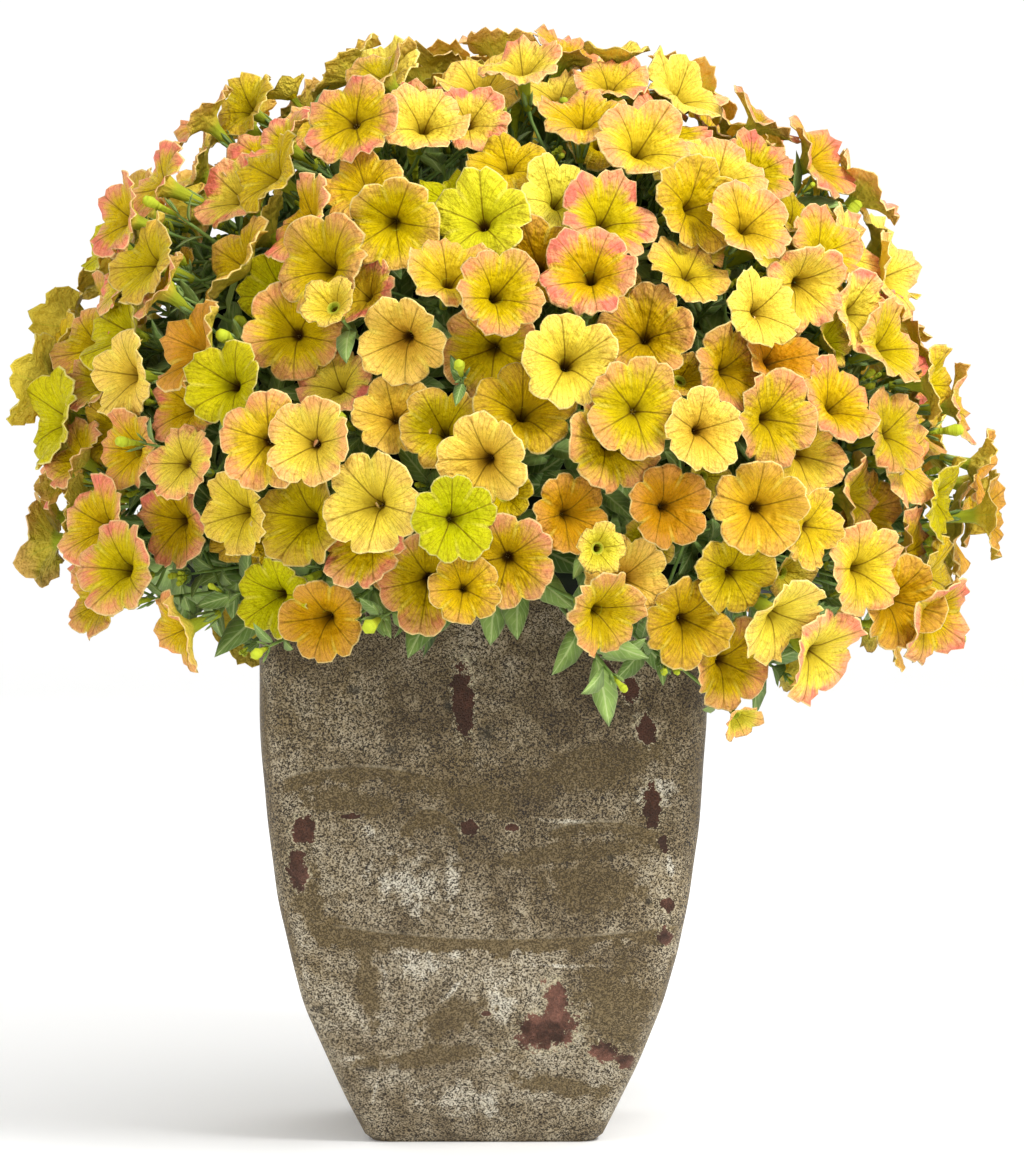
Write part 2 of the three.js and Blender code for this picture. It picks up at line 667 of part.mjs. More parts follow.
// Leafy stems: each stands in the soil and carries its share of the dense foliage,
// with leaves and buds standing out
function growLeafyStems(sprays, knots) {
  const draw = seededDraw(FOLIAGE_SEED);
  const overPot = [0, POT_HEIGHT + RIM_CLEARANCE].map((height) =>
    roundedSquare(POT_WIDTH / 2 + RIM_CLEARANCE, POT_CORNER_RADIUS, height, 1),
  );
  const hollow = new THREE.IcosahedronGeometry(CROWN_HOLLOW, 0).translate(CROWN.x, CROWN.y, CROWN.z);
  const form = coreForm(draw)
    .subtract(solid(hollow))
    .subtract(solid(loft(overPot)))
    .trimByPlane([0, 0, 1], CORE_UNDERSIDE);
  const directions = [];
  for (let i = 0; i < LEAFY_STEMS; i++) directions.push(latticeDirection(i, LEAFY_STEMS, SPRAY_ANGLE));
  const stems = [];
  directions.forEach((direction, k) => {
    let body = form;
    directions.forEach((other, j) => {
      if (j === k) return;
      const apart = direction.clone().sub(other).normalize();
      body = body.trimByPlane(apart.toArray(), apart.dot(CROWN) + CORE_GAP / 2);
    });
    const parts = body.decompose().sort((a, b) => b.volume() - a.volume());
    body = parts[0];
    const root = stemFoot(direction);
    const heart = CROWN.clone().addScaledVector(direction, STEM_CIRCLE);
    heart.z = Math.max(heart.z, POT_HEIGHT + RIM_CLEARANCE + 22);
    stems.push({ direction, body, root, heart });
  });
  stems.forEach((stem) => {
    stems.forEach((other) => {
      if (other !== stem) stem.body = stem.body.subtract(stemRod(other, HOLE_CLEARANCE * 2));
    });
    stem.body = stem.body.add(stemRod(stem, 0));
  });
  stems.forEach((stem) => {
    knots.forEach((knot) => {
      stem.body = stem.body.subtract(stalkSolid(knot, HOLE_CLEARANCE));
    });
  });
  stems.forEach((stem) => {
    const wanted = LEAVES_PER_STEM + BUDS_PER_STEM;
    let made = 0;
    for (let attempt = 0; attempt < 60 && made < wanted; attempt++) {
      const [side, rise] = acrossOf(stem.direction);
      const reach = 0.42 * Math.sqrt(draw());
      const turn = 2 * Math.PI * draw();
      const outward = stem.direction
        .clone()
        .addScaledVector(side, reach * Math.cos(turn))
        .addScaledVector(rise, reach * Math.sin(turn))
        .normalize();
      const lean = [draw() - 0.5, draw() - 0.5];
      const size = 0.85 + 0.4 * draw();
      const roll = 2 * Math.PI * draw();
      const [leafSide, leafRise] = acrossOf(outward);
      const along = outward
        .clone()
        .addScaledVector(leafSide, lean[0] * 0.9)
        .addScaledVector(leafRise, lean[1] * 0.9)
        .normalize();
      const face = leafSide.multiplyScalar(Math.cos(roll)).addScaledVector(leafRise, Math.sin(roll));
      const base = moundPoint(outward, CORE_RADIUS - CORE_LUMPS - 5);
      const isLeaf = made < LEAVES_PER_STEM;
      const piece = isLeaf ? leafSolid(base, along, face, size) : budSolid(base, along, size);
      const others = [...sprays, ...stems.filter((other) => other !== stem).map((other) => other.body)];
      if (others.some((other) => other.minGap(piece, 2) < CLEAR_OF_NEIGHBOURS)) continue;
      const joined = stem.body.add(piece);
      if (joined.decompose().length !== 1) continue;
      stem.body = joined;
      made += 1;
    }
  });
  return stems;
}

// The potting soil, gently mounded, with a plain hole for each leafy stem
function soil(stems) {
  const innerRadius = POT_CORNER_RADIUS - POT_WALL + 2 - SOIL_GAP;
  const [floor, ...bends] = INSIDE_HEIGHTS;
  const rings = [floor + SOIL_GAP, ...bends, SOIL_TOP - SOIL_MOUND].map((height) =>
    roundedSquare(potHalfWidth(height) - POT_WALL - SOIL_GAP, innerRadius, height, 2),
  );
  rings.push(roundedSquare(POT_WIDTH / 2 - POT_WALL - 30, innerRadius * 2, SOIL_TOP, 2));
  let body = solid(loft(rings));
  for (const stem of stems) {
    const above = stem.heart.clone().sub(stem.root).normalize();
    const bottom = stem.root.clone().addScaledVector(above, -0.5);
    const top = stem.root.clone().addScaledVector(above, HOLE_DEPTH * 2);
    body = body.subtract(stick(bottom, top, STEM_RADIUS + HOLE_CLEARANCE, STEM_RADIUS + HOLE_CLEARANCE, 5));
  }
  return body;
}

const ceramic = new THREE.MeshStandardMaterial({ color: 0x6e6048, roughness: 0.8, metalness: 0 });
const earth = new THREE.MeshStandardMaterial({ color: 0x33261b, roughness: 1, metalness: 0 });
const foliage = new THREE.MeshStandardMaterial({ color: 0x3f6b2f, roughness: 0.65, metalness: 0 });
const petals = new THREE.MeshStandardMaterial({ color: 0xd9a815, roughness: 0.6, metalness: 0 });

const potted = new THREE.Group();

function addNode(name, body, material) {
  const mesh = new THREE.Mesh(geometryOf(body), material);
  mesh.name = name;
  potted.add(mesh);
}

const { sprays, knots } = growSprays();
const stems = growLeafyStems(sprays, knots);
addNode("pot", pot(), ceramic);
addNode("soil", soil(stems), earth);
stems.forEach((stem, k) => addNode("leafy_stem_" + String(k + 1).padStart(2, "0"), stem.body, foliage));
sprays.forEach((spray, k) => addNode("bloom_spray_" + String(k + 1).padStart(2, "0"), spray, petals));

export default potted;
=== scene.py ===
# %% [markdown]
# A potted petunia in full bloom: a mound of trumpet-shaped flowers over leafy stems, in a tall square
# ceramic pot. The CAD frame already holds every body at its real size. This lesson dresses it: each
# solid is replaced by finer pieces that keep its form, and each piece gets a finish made with nodes.

# %% The frame that everything is built on
import json
import math

import bmesh
import bpy
import numpy as np
from mathutils import Matrix, Vector, noise
from mathutils.bvhtree import BVHTree

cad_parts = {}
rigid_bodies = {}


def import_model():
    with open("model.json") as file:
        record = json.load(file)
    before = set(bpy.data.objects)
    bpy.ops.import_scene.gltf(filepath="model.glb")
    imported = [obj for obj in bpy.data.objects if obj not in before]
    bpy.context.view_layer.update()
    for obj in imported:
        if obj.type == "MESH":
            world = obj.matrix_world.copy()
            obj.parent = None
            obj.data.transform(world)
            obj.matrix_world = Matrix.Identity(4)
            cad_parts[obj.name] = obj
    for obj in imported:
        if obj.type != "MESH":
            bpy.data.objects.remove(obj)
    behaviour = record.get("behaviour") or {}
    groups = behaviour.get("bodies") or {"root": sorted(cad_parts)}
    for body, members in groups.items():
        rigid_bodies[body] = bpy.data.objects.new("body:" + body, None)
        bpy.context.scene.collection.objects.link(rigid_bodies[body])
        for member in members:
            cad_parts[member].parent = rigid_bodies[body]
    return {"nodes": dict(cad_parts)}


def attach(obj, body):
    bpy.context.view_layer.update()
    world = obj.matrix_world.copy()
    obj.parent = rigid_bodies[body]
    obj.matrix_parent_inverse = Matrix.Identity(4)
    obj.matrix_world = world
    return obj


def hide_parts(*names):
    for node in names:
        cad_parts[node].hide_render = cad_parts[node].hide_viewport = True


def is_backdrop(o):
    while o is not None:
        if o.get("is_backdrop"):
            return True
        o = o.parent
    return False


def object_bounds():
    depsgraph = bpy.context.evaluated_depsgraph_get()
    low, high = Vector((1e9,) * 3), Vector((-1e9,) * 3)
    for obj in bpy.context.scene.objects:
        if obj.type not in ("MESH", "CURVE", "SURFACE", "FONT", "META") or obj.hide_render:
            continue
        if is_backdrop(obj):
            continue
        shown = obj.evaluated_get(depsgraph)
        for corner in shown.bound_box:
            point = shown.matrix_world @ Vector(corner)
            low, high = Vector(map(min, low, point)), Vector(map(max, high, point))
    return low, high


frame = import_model()
cad_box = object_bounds()
MM = 0.001
print("CAD nodes:", len(frame["nodes"]), "box in mm:", [[round(v / MM) for v in c] for c in cad_box])

# %% [markdown]
# The photograph looks almost level at the plant, with a long lens, in soft light that comes from the
# upper right. A camera is made here: its place, the point it looks at and its lens give the same
# framing. Three large area lights and a pale floor that sweeps up behind the pot make a plain studio.

# %% Camera, floor and lights
AIM = Vector((0.018, 0.0, 0.352))
CAMERA_DISTANCE = 3.2
CAMERA_RISE = math.radians(3)
FRAME_HALF_HEIGHT = 0.379
SENSOR_WIDTH = 36
scene = bpy.context.scene
scene.view_settings.view_transform = "Standard"


def in_scene(name, data):
    """A new object that is linked to the scene."""
    made = bpy.data.objects.new(name, data)
    scene.collection.objects.link(made)
    return made


lens = bpy.data.cameras.new("studio_camera")
lens.sensor_width = SENSOR_WIDTH
lens.lens = SENSOR_WIDTH / 2 * CAMERA_DISTANCE / FRAME_HALF_HEIGHT
camera = in_scene("studio_camera", lens)
away = Vector((0, -math.cos(CAMERA_RISE), math.sin(CAMERA_RISE)))
camera.location = AIM + away * CAMERA_DISTANCE
camera.rotation_euler = (-away).to_track_quat("-Z", "Y").to_euler()
scene.camera = camera


def studio_light(name, place, size, power):
    """A large soft lamp that points at the middle of the plant."""
    data = bpy.data.lights.new(name, "AREA")
    data.shape = "DISK"
    data.size = size
    data.energy = power
    lamp = in_scene(name, data)
    lamp.location = place
    lamp.rotation_euler = (AIM - Vector(place)).to_track_quat("-Z", "Y").to_euler()


studio_light("key_light", (1.6, -1.5, 2.4), 0.9, 74)
studio_light("fill_light", (-2.2, -1.8, 1.0), 1.8, 9)
studio_light("back_light", (0.4, 2.2, 1.9), 1.6, 14)

sky = bpy.data.worlds.new("studio")
sky.use_nodes = True
backdrop = sky.node_tree.nodes["Background"].inputs
backdrop["Color"].default_value = (1, 1, 1, 1)
backdrop["Strength"].default_value = 0.96
scene.world = sky


def studio_floor():
    """A floor that curves up into a wall, so that no horizon shows."""
    half, depth, bend, wall, steps = 6.0, 4.0, 1.5, 5.0, 16
    outline = [(-depth, 0.0)]
    for step in range(steps + 1):
        turn = step / steps * math.pi / 2
        outline.append((depth + bend * math.sin(turn), bend * (1 - math.cos(turn))))
    outline.append((depth + bend, wall))
    points = [(x, y, z) for y, z in outline for x in (-half, half)]
    faces = [(2 * i, 2 * i + 1, 2 * i + 3, 2 * i + 2) for i in range(len(outline) - 1)]
    mesh = bpy.data.meshes.new("studio_floor")
    mesh.from_pydata(points, [], faces)
    mesh.shade_smooth()
    return in_scene("studio_floor", mesh)


floor = studio_floor()
floor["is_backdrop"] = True
print("camera at", [round(v, 3) for v in camera.location], "lens", round(lens.lens, 1))

# %% [markdown]
# Every finish and every Geometry Nodes tree below is wired in code. A few small helpers keep that
# readable: one adds a node, one feeds a value or a link into a socket, and the rest name the common
# steps, such as a sum, a soft threshold or a mix of two colours. A socket knows its own tree, so a helper
# that is given at least one socket finds the tree by itself.

# %% Helpers for wiring nodes


def srgb(*colour):
    """A colour as seen on screen, 0 to 255, turned into the linear values that shaders use."""
    return tuple(((c / 255 + 0.055) / 1.055) ** 2.4 if c > 10 else c / 3294 for c in colour) + (1,)


def feed(socket, value):
    """Puts a number, a colour or another node's output into a socket."""
    if isinstance(value, bpy.types.NodeSocket):
        socket.id_data.links.new(value, socket)
    else:
        socket.default_value = value


def node(tree, kind, inputs=(), **settings):
    """Adds a node, with its settings and with its inputs by name or number."""
    made = tree.nodes.new(kind)
    for name, value in settings.items():
        setattr(made, name, value)
    for name, value in dict(inputs).items():
        feed(made.inputs[name], value)
    return made


def tree_of(*values):
    """The node tree of the first socket among some values."""
    return next(value.id_data for value in values if isinstance(value, bpy.types.NodeSocket))


def maths(operation, *values, clamp=False):
    """One step of arithmetic on numbers or sockets."""
    made = node(tree_of(*values), "ShaderNodeMath", enumerate(values), operation=operation)
    made.use_clamp = clamp
    return made.outputs[0]


def add(a, b):
    """a + b"""
    return maths("ADD", a, b)


def minus(a, b):
    """a - b"""
    return maths("SUBTRACT", a, b)


def times(a, b, clamp=False):
    """a * b, kept from 0 to 1 when clamped"""
    return maths("MULTIPLY", a, b, clamp=clamp)


def times_add(a, b, c):
    """a * b + c"""
    return maths("MULTIPLY_ADD", a, b, c)


def split(vector):
    """The three parts of a vector or a colour."""
    return node(tree_of(vector), "ShaderNodeSeparateXYZ", {0: vector}).outputs


def vector_of(x=0.0, y=0.0, z=0.0):
    """A vector from its three parts."""
    return node(tree_of(x, y, z), "ShaderNodeCombineXYZ", {0: x, 1: y, 2: z}).outputs[0]


def soft_step(low, high, value):
    """0 below the low value, 1 above the high one, and a smooth change between them."""
    inputs = {"Value": value, "From Min": low, "From Max": high}
    made = node(tree_of(value), "ShaderNodeMapRange", inputs, interpolation_type="SMOOTHSTEP")
    return made.outputs["Result"]


def blend_colour(share, below, above):
    """The upper colour laid over the lower one by a share."""
    return node(tree_of(share), "ShaderNodeMix", {0: share, 6: below, 7: above}, data_type="RGBA").outputs[2]


def cloudy(place, scale, detail=3.0, roughness=0.5):
    """Soft noise from 0 to 1."""
    inputs = {"Vector": place, "Scale": scale, "Detail": detail, "Roughness": roughness}
    return node(tree_of(place), "ShaderNodeTexNoise", inputs).outputs["Fac"]


def object_place(tree):
    """Where a point of a piece is, in the piece's own metres."""
    return node(tree, "ShaderNodeTexCoord").outputs["Object"]


def mesh_values(tree, name):
    """The three values of an attribute that the mesh carries at each point."""
    return split(node(tree, "ShaderNodeAttribute", attribute_name=name).outputs["Vector"])


def new_finish(name, roughness, **uniform):
    """A material with one Principled shader. Uniform values are set on its own sockets."""
    made = bpy.data.materials.new(name)
    made.use_nodes = True
    shader = made.node_tree.nodes["Principled BSDF"]
    shader.inputs["Roughness"].default_value = roughness
    for socket, value in uniform.items():
        shader.inputs[socket.replace("_", " ")].default_value = value
    return made, made.node_tree, shader


def roughen(shader, relief, strength, distance):
    """Raises a relief on the surface."""
    inputs = {"Height": relief, "Strength": strength, "Distance": distance}
    feed(shader.inputs["Normal"], node(tree_of(relief), "ShaderNodeBump", inputs).outputs[0])


# %% [markdown]
# The studio's sweep is paper: nearly white, dull, with the faintest clouding so that it isn't one flat
# number.

# %% Finish of the studio paper
paper, tree, shader = new_finish("studio_paper", 0.95)
shade = blend_colour(cloudy(object_place(tree), 1.2), srgb(248, 248, 247), srgb(251, 251, 251))
feed(shader.inputs["Base Color"], shade)
floor.data.materials.append(paper)

# %% [markdown]
# The plant's form follows one rule, the same as in the CAD. A petunia that is cared for grows into a
# mound, so its blooms are spread over a rounded form in a golden-angle lattice, like seeds in a
# sunflower, and then nudged, tilted and lifted by a seeded draw until each is clear of those before it.
# The rule is repeated here in numpy, so that each flower lands where its solid stands.

# %% The seeded draw and the mound
GOLDEN_TURN = math.pi * (3 - math.sqrt(5))
MOUND_CENTRE = np.array([14.0, 0.0, 398.0])
MOUND_RADIUS = 302
MOUND_SHAPE = np.array([1.0, 0.95, 1.0])
SKIRT_ANGLE = math.radians(105)
# Where the skirt hangs lower, or is lifted: turn from the front, how far round it reaches, drop
SKIRT_HANGS = [
    (-0.12, 0.34, -0.15),
    (0.55, 0.4, 0.1),
    (-0.5, 0.35, 0.07),
    (-1.5, 0.65, -0.2),
    (1.55, 0.55, -0.08),
    (2.3, 0.5, 0.08),
    (-2.7, 0.5, 0.1),
]
# Where the mound bulges: direction, how far round it reaches, millimetres
MOUND_BULGES = [
    (-0.86, -0.1, 0.5, 0.5, 18),
    (-0.5, 0.1, 0.85, 0.35, 8),
    (0.58, 0.1, 0.8, 0.35, 10),
    (1.0, -0.1, 0.0, 0.3, 9),
    (0.1, -1.0, 0.1, 0.6, 6),
    (-0.3, 0.9, 0.4, 0.5, 8),
    (0.6, 0.8, 0.1, 0.45, -8),
]


def seeded_draw(seed):
    """A function that gives the next number from 0 to 1, the same ones on every run."""
    low_bits = 0xFFFFFFFF
    state = seed & low_bits

    def draw():
        nonlocal state
        state = (state + 0x6D2B79F5) & low_bits
        mixed = state
        mixed = ((mixed ^ (mixed >> 15)) * (mixed | 1)) & low_bits
        mixed ^= (mixed + (mixed ^ (mixed >> 7)) * (mixed | 61)) & low_bits
        return ((mixed ^ (mixed >> 14)) & low_bits) / 4294967296

    return draw


def unit(vector):
    """The same direction, one long."""
    return vector / np.linalg.norm(vector, axis=-1, keepdims=True)


def dot(a, b):
    """The dot product along the last axis."""
    return np.sum(a * b, axis=-1)


def lattice_direction(i, count, lowest):
    """Point i of a golden-angle lattice from the mound's top down to an angle."""
    plain = math.acos(1 - ((i + 0.5) / count) * (1 - math.cos(lowest)))
    turn = (i * GOLDEN_TURN) % (2 * math.pi)
    hang = 0.0
    for middle, reach, drop in SKIRT_HANGS:
        apart = math.atan2(math.sin(turn - middle), math.cos(turn - middle)) / reach
        hang += drop * math.exp(-apart * apart)
    angle = plain + hang * (plain / SKIRT_ANGLE) ** 4
    across = math.sin(angle)
    return np.array([across * math.sin(turn), -across * math.cos(turn), math.cos(angle)])


def bulge(out):
    """How far the mound stands out beyond its plain form in a direction."""
    total = 0.0
    for *lump, reach, height in MOUND_BULGES:
        cosine = dot(out, lump) / np.linalg.norm(out, axis=-1) / np.linalg.norm(lump)
        total = total + height * np.exp(-((np.arccos(np.clip(cosine, -1, 1)) / reach) ** 2))
    return total


def mound_point(direction, distance):
    """A point of the mound, at a distance from its centre and with its bulges."""
    out = np.asarray(direction, float)
    return out * MOUND_SHAPE * np.asarray(distance + bulge(out))[..., None] + MOUND_CENTRE


def level_of(point):
    """How far out in the mound a point is."""
    out = (point - MOUND_CENTRE) / MOUND_SHAPE
    return np.linalg.norm(out, axis=-1) - bulge(out)


def across_of(direction):
    """Two directions across a given one."""
    direction = np.asarray(direction, float)
    steep = np.abs(direction[..., 2:3]) > 0.9
    reference = np.where(steep, [1.0, 0.0, 0.0], [0.0, 0.0, 1.0])
    side = unit(np.cross(reference, direction))
    return side, np.cross(direction, side)


print("top of the mound:", np.round(mound_point([0, 0, 1], MOUND_RADIUS), 1))

# %% [markdown]
# Before a bloom is placed, a few simple shapes stand for it: flat discs for its dished face, a stretch
# for its tube and one for its funnel. A crossing of these shapes means that two real blooms would cut
# through each other. numpy tests 120 ways to place one bloom against all its neighbours at once.

# %% Tests of whether blooms cross
BLOOM_RADIUS = 29.5
THROAT_DEPTH = 11
DISH_DEPTHS = np.array([0, 5, 10])
DISH_SHARES = np.array([1, 0.68, 0.34])
FUNNEL_DEPTH = 6
FUNNEL_RADIUS = 12
TUBE_RADIUS = 4.2
TUBE_TOP_DEPTH = 13.5
REACH_OF_A_BLOOM = 140
LEAST_TUBE_BEND = 0.4
CORE_RADIUS = 224
CORE_LUMPS = 5
CLEAR_OF_FOLIAGE = 3


def discs_cross(a, b):
    """Whether the dished faces of blooms a and b cross, for every pair."""
    share = (..., slice(None), None)
    other = (..., None, slice(None))
    centre_a = a["centre"][..., None, :] - DISH_DEPTHS[:, None] * a["axis"][..., None, :]
    centre_b = b["centre"][..., None, :] - DISH_DEPTHS[:, None] * b["axis"][..., None, :]
    apart = centre_b[..., None, :, :] - centre_a[..., :, None, :]
    radius_a = (a["radius"][..., None] * DISH_SHARES + 1)[share]
    radius_b = (b["radius"][..., None] * DISH_SHARES + 1)[other]
    axis_a = a["axis"][..., None, None, :]
    axis_b = b["axis"][..., None, None, :]
    line = np.cross(axis_a, axis_b)
    sine = np.linalg.norm(line, axis=-1)
    safe = np.maximum(sine, 1e-9)
    from_a = np.abs(dot(apart, axis_b)) / safe
    from_b = np.abs(dot(apart, axis_a)) / safe
    half_a = np.sqrt(np.maximum(radius_a**2 - from_a**2, 0))
    half_b = np.sqrt(np.maximum(radius_b**2 - from_b**2, 0))
    meet = np.abs(dot(apart, line / safe[..., None])) < half_a + half_b
    cross = meet & (from_a < radius_a) & (from_b < radius_b)
    cross = np.where(sine < 0.03, np.abs(dot(apart, axis_a)) < 3, cross)
    near = np.linalg.norm(apart, axis=-1) <= radius_a + radius_b
    return np.any(cross & near, axis=(-1, -2))


def stretch_gap(from_a, to_a, from_b, to_b):
    """The distance between two straight stretches, for every pair."""
    along_a, along_b, apart = to_a - from_a, to_b - from_b, from_a - from_b
    length_a, length_b, shared = dot(along_a, along_a), dot(along_b, along_b), dot(along_a, along_b)
    end_b = dot(along_b, apart)
    square = length_a * length_b - shared * shared
    open_share = (shared * end_b - dot(along_a, apart) * length_b) / np.maximum(square, 1e-6)
    share_a = np.where(square > 1e-6, np.clip(open_share, 0, 1), 0)
    share_b = np.clip((shared * share_a + end_b) / length_b, 0, 1)
    near_a = np.clip((shared * share_b - dot(along_a, apart)) / length_a, 0, 1)
    gap = apart + along_a * near_a[..., None] - along_b * share_b[..., None]
    return np.linalg.norm(gap, axis=-1)


def tube_crosses(a, b):
    """Whether the tube below bloom a passes through bloom b's face."""
    start = a["centre"] - a["axis"] * THROAT_DEPTH
    above = dot(start - b["centre"], b["axis"])
    below = dot(a["knot"] - b["centre"], b["axis"])
    share = above / np.where(above == below, 1, above - below)
    crossing = start + (a["knot"] - start) * share[..., None]
    reach = np.linalg.norm(crossing - b["centre"], axis=-1)
    return (above * below <= 0) & (reach < b["radius"] + TUBE_RADIUS)


def tube_in_funnel(a, b):
    """Whether the tube below bloom a runs through bloom b's funnel."""
    funnel = b["centre"] - b["axis"] * FUNNEL_DEPTH
    top = a["centre"] - a["axis"] * TUBE_TOP_DEPTH
    foot = top + (a["knot"] - top) * 0.85
    return stretch_gap(top, foot, funnel, funnel + b["axis"]) < FUNNEL_RADIUS + TUBE_RADIUS


def tubes_touch(a, b):
    """Whether two tubes touch away from a knot that they share."""
    share = np.where(a["spray"] == b["spray"], 0.55, 1)[..., None]
    foot_a = a["centre"] + (a["knot"] - a["centre"]) * share
    foot_b = b["centre"] + (b["knot"] - b["centre"]) * share
    return stretch_gap(a["centre"], foot_a, b["centre"], foot_b) < TUBE_RADIUS * 2.2


def under_strain(bloom):
    """Whether a tube would turn back through its petals, or the rim or tube dips into the foliage."""
    top = bloom["centre"] - bloom["axis"] * TUBE_TOP_DEPTH
    strained = dot(unit(top - bloom["knot"]), bloom["axis"]) < LEAST_TUBE_BEND
    side, rise = across_of(bloom["axis"])
    places = [top + (bloom["knot"] - top) * share for share in (0.25, 0.5, 0.75)]
    for turn in np.arange(10) * math.pi / 5:
        out = side * math.cos(turn) + rise * math.sin(turn)
        places.append(bloom["centre"] + out * bloom["radius"][..., None])
    for place in places:
        strained = strained | (level_of(place) < CORE_RADIUS + CORE_LUMPS + CLEAR_OF_FOLIAGE)
    return strained


def crossings_of(tries, placed):
    """How many of the placed blooms each way of placing a new one would run into."""
    a = {key: value[:, None] for key, value in tries.items()}
    b = {key: value[None, :] for key, value in placed.items()}
    near = np.linalg.norm(b["centre"] - a["centre"], axis=-1) < REACH_OF_A_BLOOM
    met = discs_cross(a, b) | tube_crosses(a, b) | tube_crosses(b, a)
    met |= tube_in_funnel(a, b) | tube_in_funnel(b, a) | tubes_touch(a, b)
    return np.sum(met & near, axis=1)


# %% Placing the blooms
BLOOM_COUNT = 323
# The blooms face outward more than the mound's surface under them does
FACING_RISE = 0.6
LEAST_TILT = 0.08
OUTER_TILT = 0.62
INNER_TILT = 0.4
BLOOM_LEVEL_STEP = 11
BLOOM_LEVELS = 3
NUDGE = 0.07
BLOOM_SPRAYS = 36
SPRAY_ANGLE = math.radians(101)
SPRAY_KNOT_RADIUS = 240
STALK_SUNK = 24
LOWEST_STALK_RISE = -0.04
BLOOM_SEED = 20260
LIFTS = [0, -8, 8, -15, 15, 22]
LEANS = [1, 0.5, 0, -0.5, -1]
NEAREST_KNOTS = 4


def grow_knots():
    """Where each spray's stalk leaves the foliage, and the knot that its blooms grow from."""
    directions = np.array([lattice_direction(i, BLOOM_SPRAYS, SPRAY_ANGLE) for i in range(BLOOM_SPRAYS)])
    raised = directions.copy()
    raised[:, 2] = np.maximum(raised[:, 2], LOWEST_STALK_RISE)
    return mound_point(unit(raised), CORE_RADIUS - STALK_SUNK), mound_point(directions, SPRAY_KNOT_RADIUS)


def ways_to_place(outward, base, tilt, radius, knots):
    """Every lift, lean and knot that a bloom may take, in order."""
    facing = unit(outward * [1, 1, FACING_RISE])
    side, rise = across_of(facing)
    centres, axes, sprays = [], [], []
    for lift in LIFTS:
        centre = base + outward * lift
        nearest = np.argsort(np.linalg.norm(knots - centre, axis=1), kind="stable")[:NEAREST_KNOTS]
        for lean in LEANS:
            axis = facing + side * math.sin(tilt[1]) * tilt[0] * lean
            axis = unit(axis + rise * math.cos(tilt[1]) * tilt[0] * lean)
            centres += [centre] * NEAREST_KNOTS
            axes += [axis] * NEAREST_KNOTS
            sprays += list(nearest)
    sprays = np.array(sprays)
    size = np.full(len(sprays), radius)
    tries = {"centre": np.array(centres), "axis": np.array(axes), "radius": size, "spray": sprays}
    return {**tries, "knot": knots[sprays]}


def grow_blooms(knots):
    """Every bloom's centre, axis, radius, spray and knot, and its spin."""
    draw = seeded_draw(BLOOM_SEED)
    placed = {key: [] for key in ("centre", "axis", "radius", "spray", "knot")}
    spins = []
    for i in range(BLOOM_COUNT):
        nudge = [draw() - 0.5, draw() - 0.5]
        spread = INNER_TILT if i % BLOOM_LEVELS else OUTER_TILT
        tilt = [LEAST_TILT + spread * draw(), 2 * math.pi * draw()]
        depth_draw = draw() - 0.5
        radius = BLOOM_RADIUS * (0.86 + 0.24 * draw())
        spins.append(2 * math.pi * draw())
        outward = lattice_direction(i, BLOOM_COUNT, SKIRT_ANGLE)
        across, along = across_of(outward)
        outward = unit(outward + across * nudge[0] * NUDGE + along * nudge[1] * NUDGE)
        level = (i % BLOOM_LEVELS) * BLOOM_LEVEL_STEP + depth_draw * BLOOM_LEVEL_STEP * 0.5
        tries = ways_to_place(outward, mound_point(outward, MOUND_RADIUS - level), tilt, radius, knots)
        cost = np.where(under_strain(tries), 5, 0)
        if i:
            so_far = {key: np.array(value) for key, value in placed.items()}
            close = np.linalg.norm(so_far["centre"] - tries["centre"][0], axis=1) < REACH_OF_A_BLOOM + 25
            cost = cost + crossings_of(tries, {key: value[close] for key, value in so_far.items()})
        best = int(np.argmin(cost))
        for key in placed:
            placed[key].append(tries[key][best])
    return {**{key: np.array(value) for key, value in placed.items()}, "spin": np.array(spins)}


stalk_roots, knots = grow_knots()
blooms = grow_blooms(knots)
per_spray = np.bincount(blooms["spray"], minlength=BLOOM_SPRAYS)
print(len(blooms["spin"]), "blooms; the fewest and most on a spray:", per_spray.min(), per_spray.max())

# %% [markdown]
# A petunia flower is one piece: five broad petals fused into a trumpet. Each petal has two soft lobes
# beside a sunken midrib, a fold and a notch where it meets the next one, and a ruffled rim. Behind the
# face the funnel narrows to a slim tube held by five green sepals. A formula draws it ring by ring, from
# the throat out over the rim and back down the outside, which closes the shell. Ten such flowers, each
# with its own warp and ruffle, are enough: a scale, a spin and a tint make every copy look different.

# %% One bloom as a closed shell
PETALS = 5
# Steps across one petal, from notch (-1) over midrib (0) to the next notch
PETAL_STEPS = [-1, -0.88, -0.66, -0.44, -0.2, 0, 0.2, 0.44, 0.66, 0.88]
# The face from throat to rim: share of the radius, height
FACE_PROFILE = [
    (0.055, -0.64),
    (0.095, -0.5),
    (0.15, -0.385),
    (0.235, -0.295),
    (0.36, -0.215),
    (0.5, -0.145),
    (0.64, -0.085),
    (0.78, -0.035),
    (0.9, -0.005),
    (0.97, 0.0),
    (1.0, -0.014),
]
# The outside from rim to the foot of the tube
BACK_PROFILE = [
    (0.965, -0.03),
    (0.8, -0.06),
    (0.52, -0.17),
    (0.28, -0.31),
    (0.165, -0.5),
    (0.115, -0.85),
    (0.09, -1.22),
]
SHELL_POINTS = PETALS * len(PETAL_STEPS)


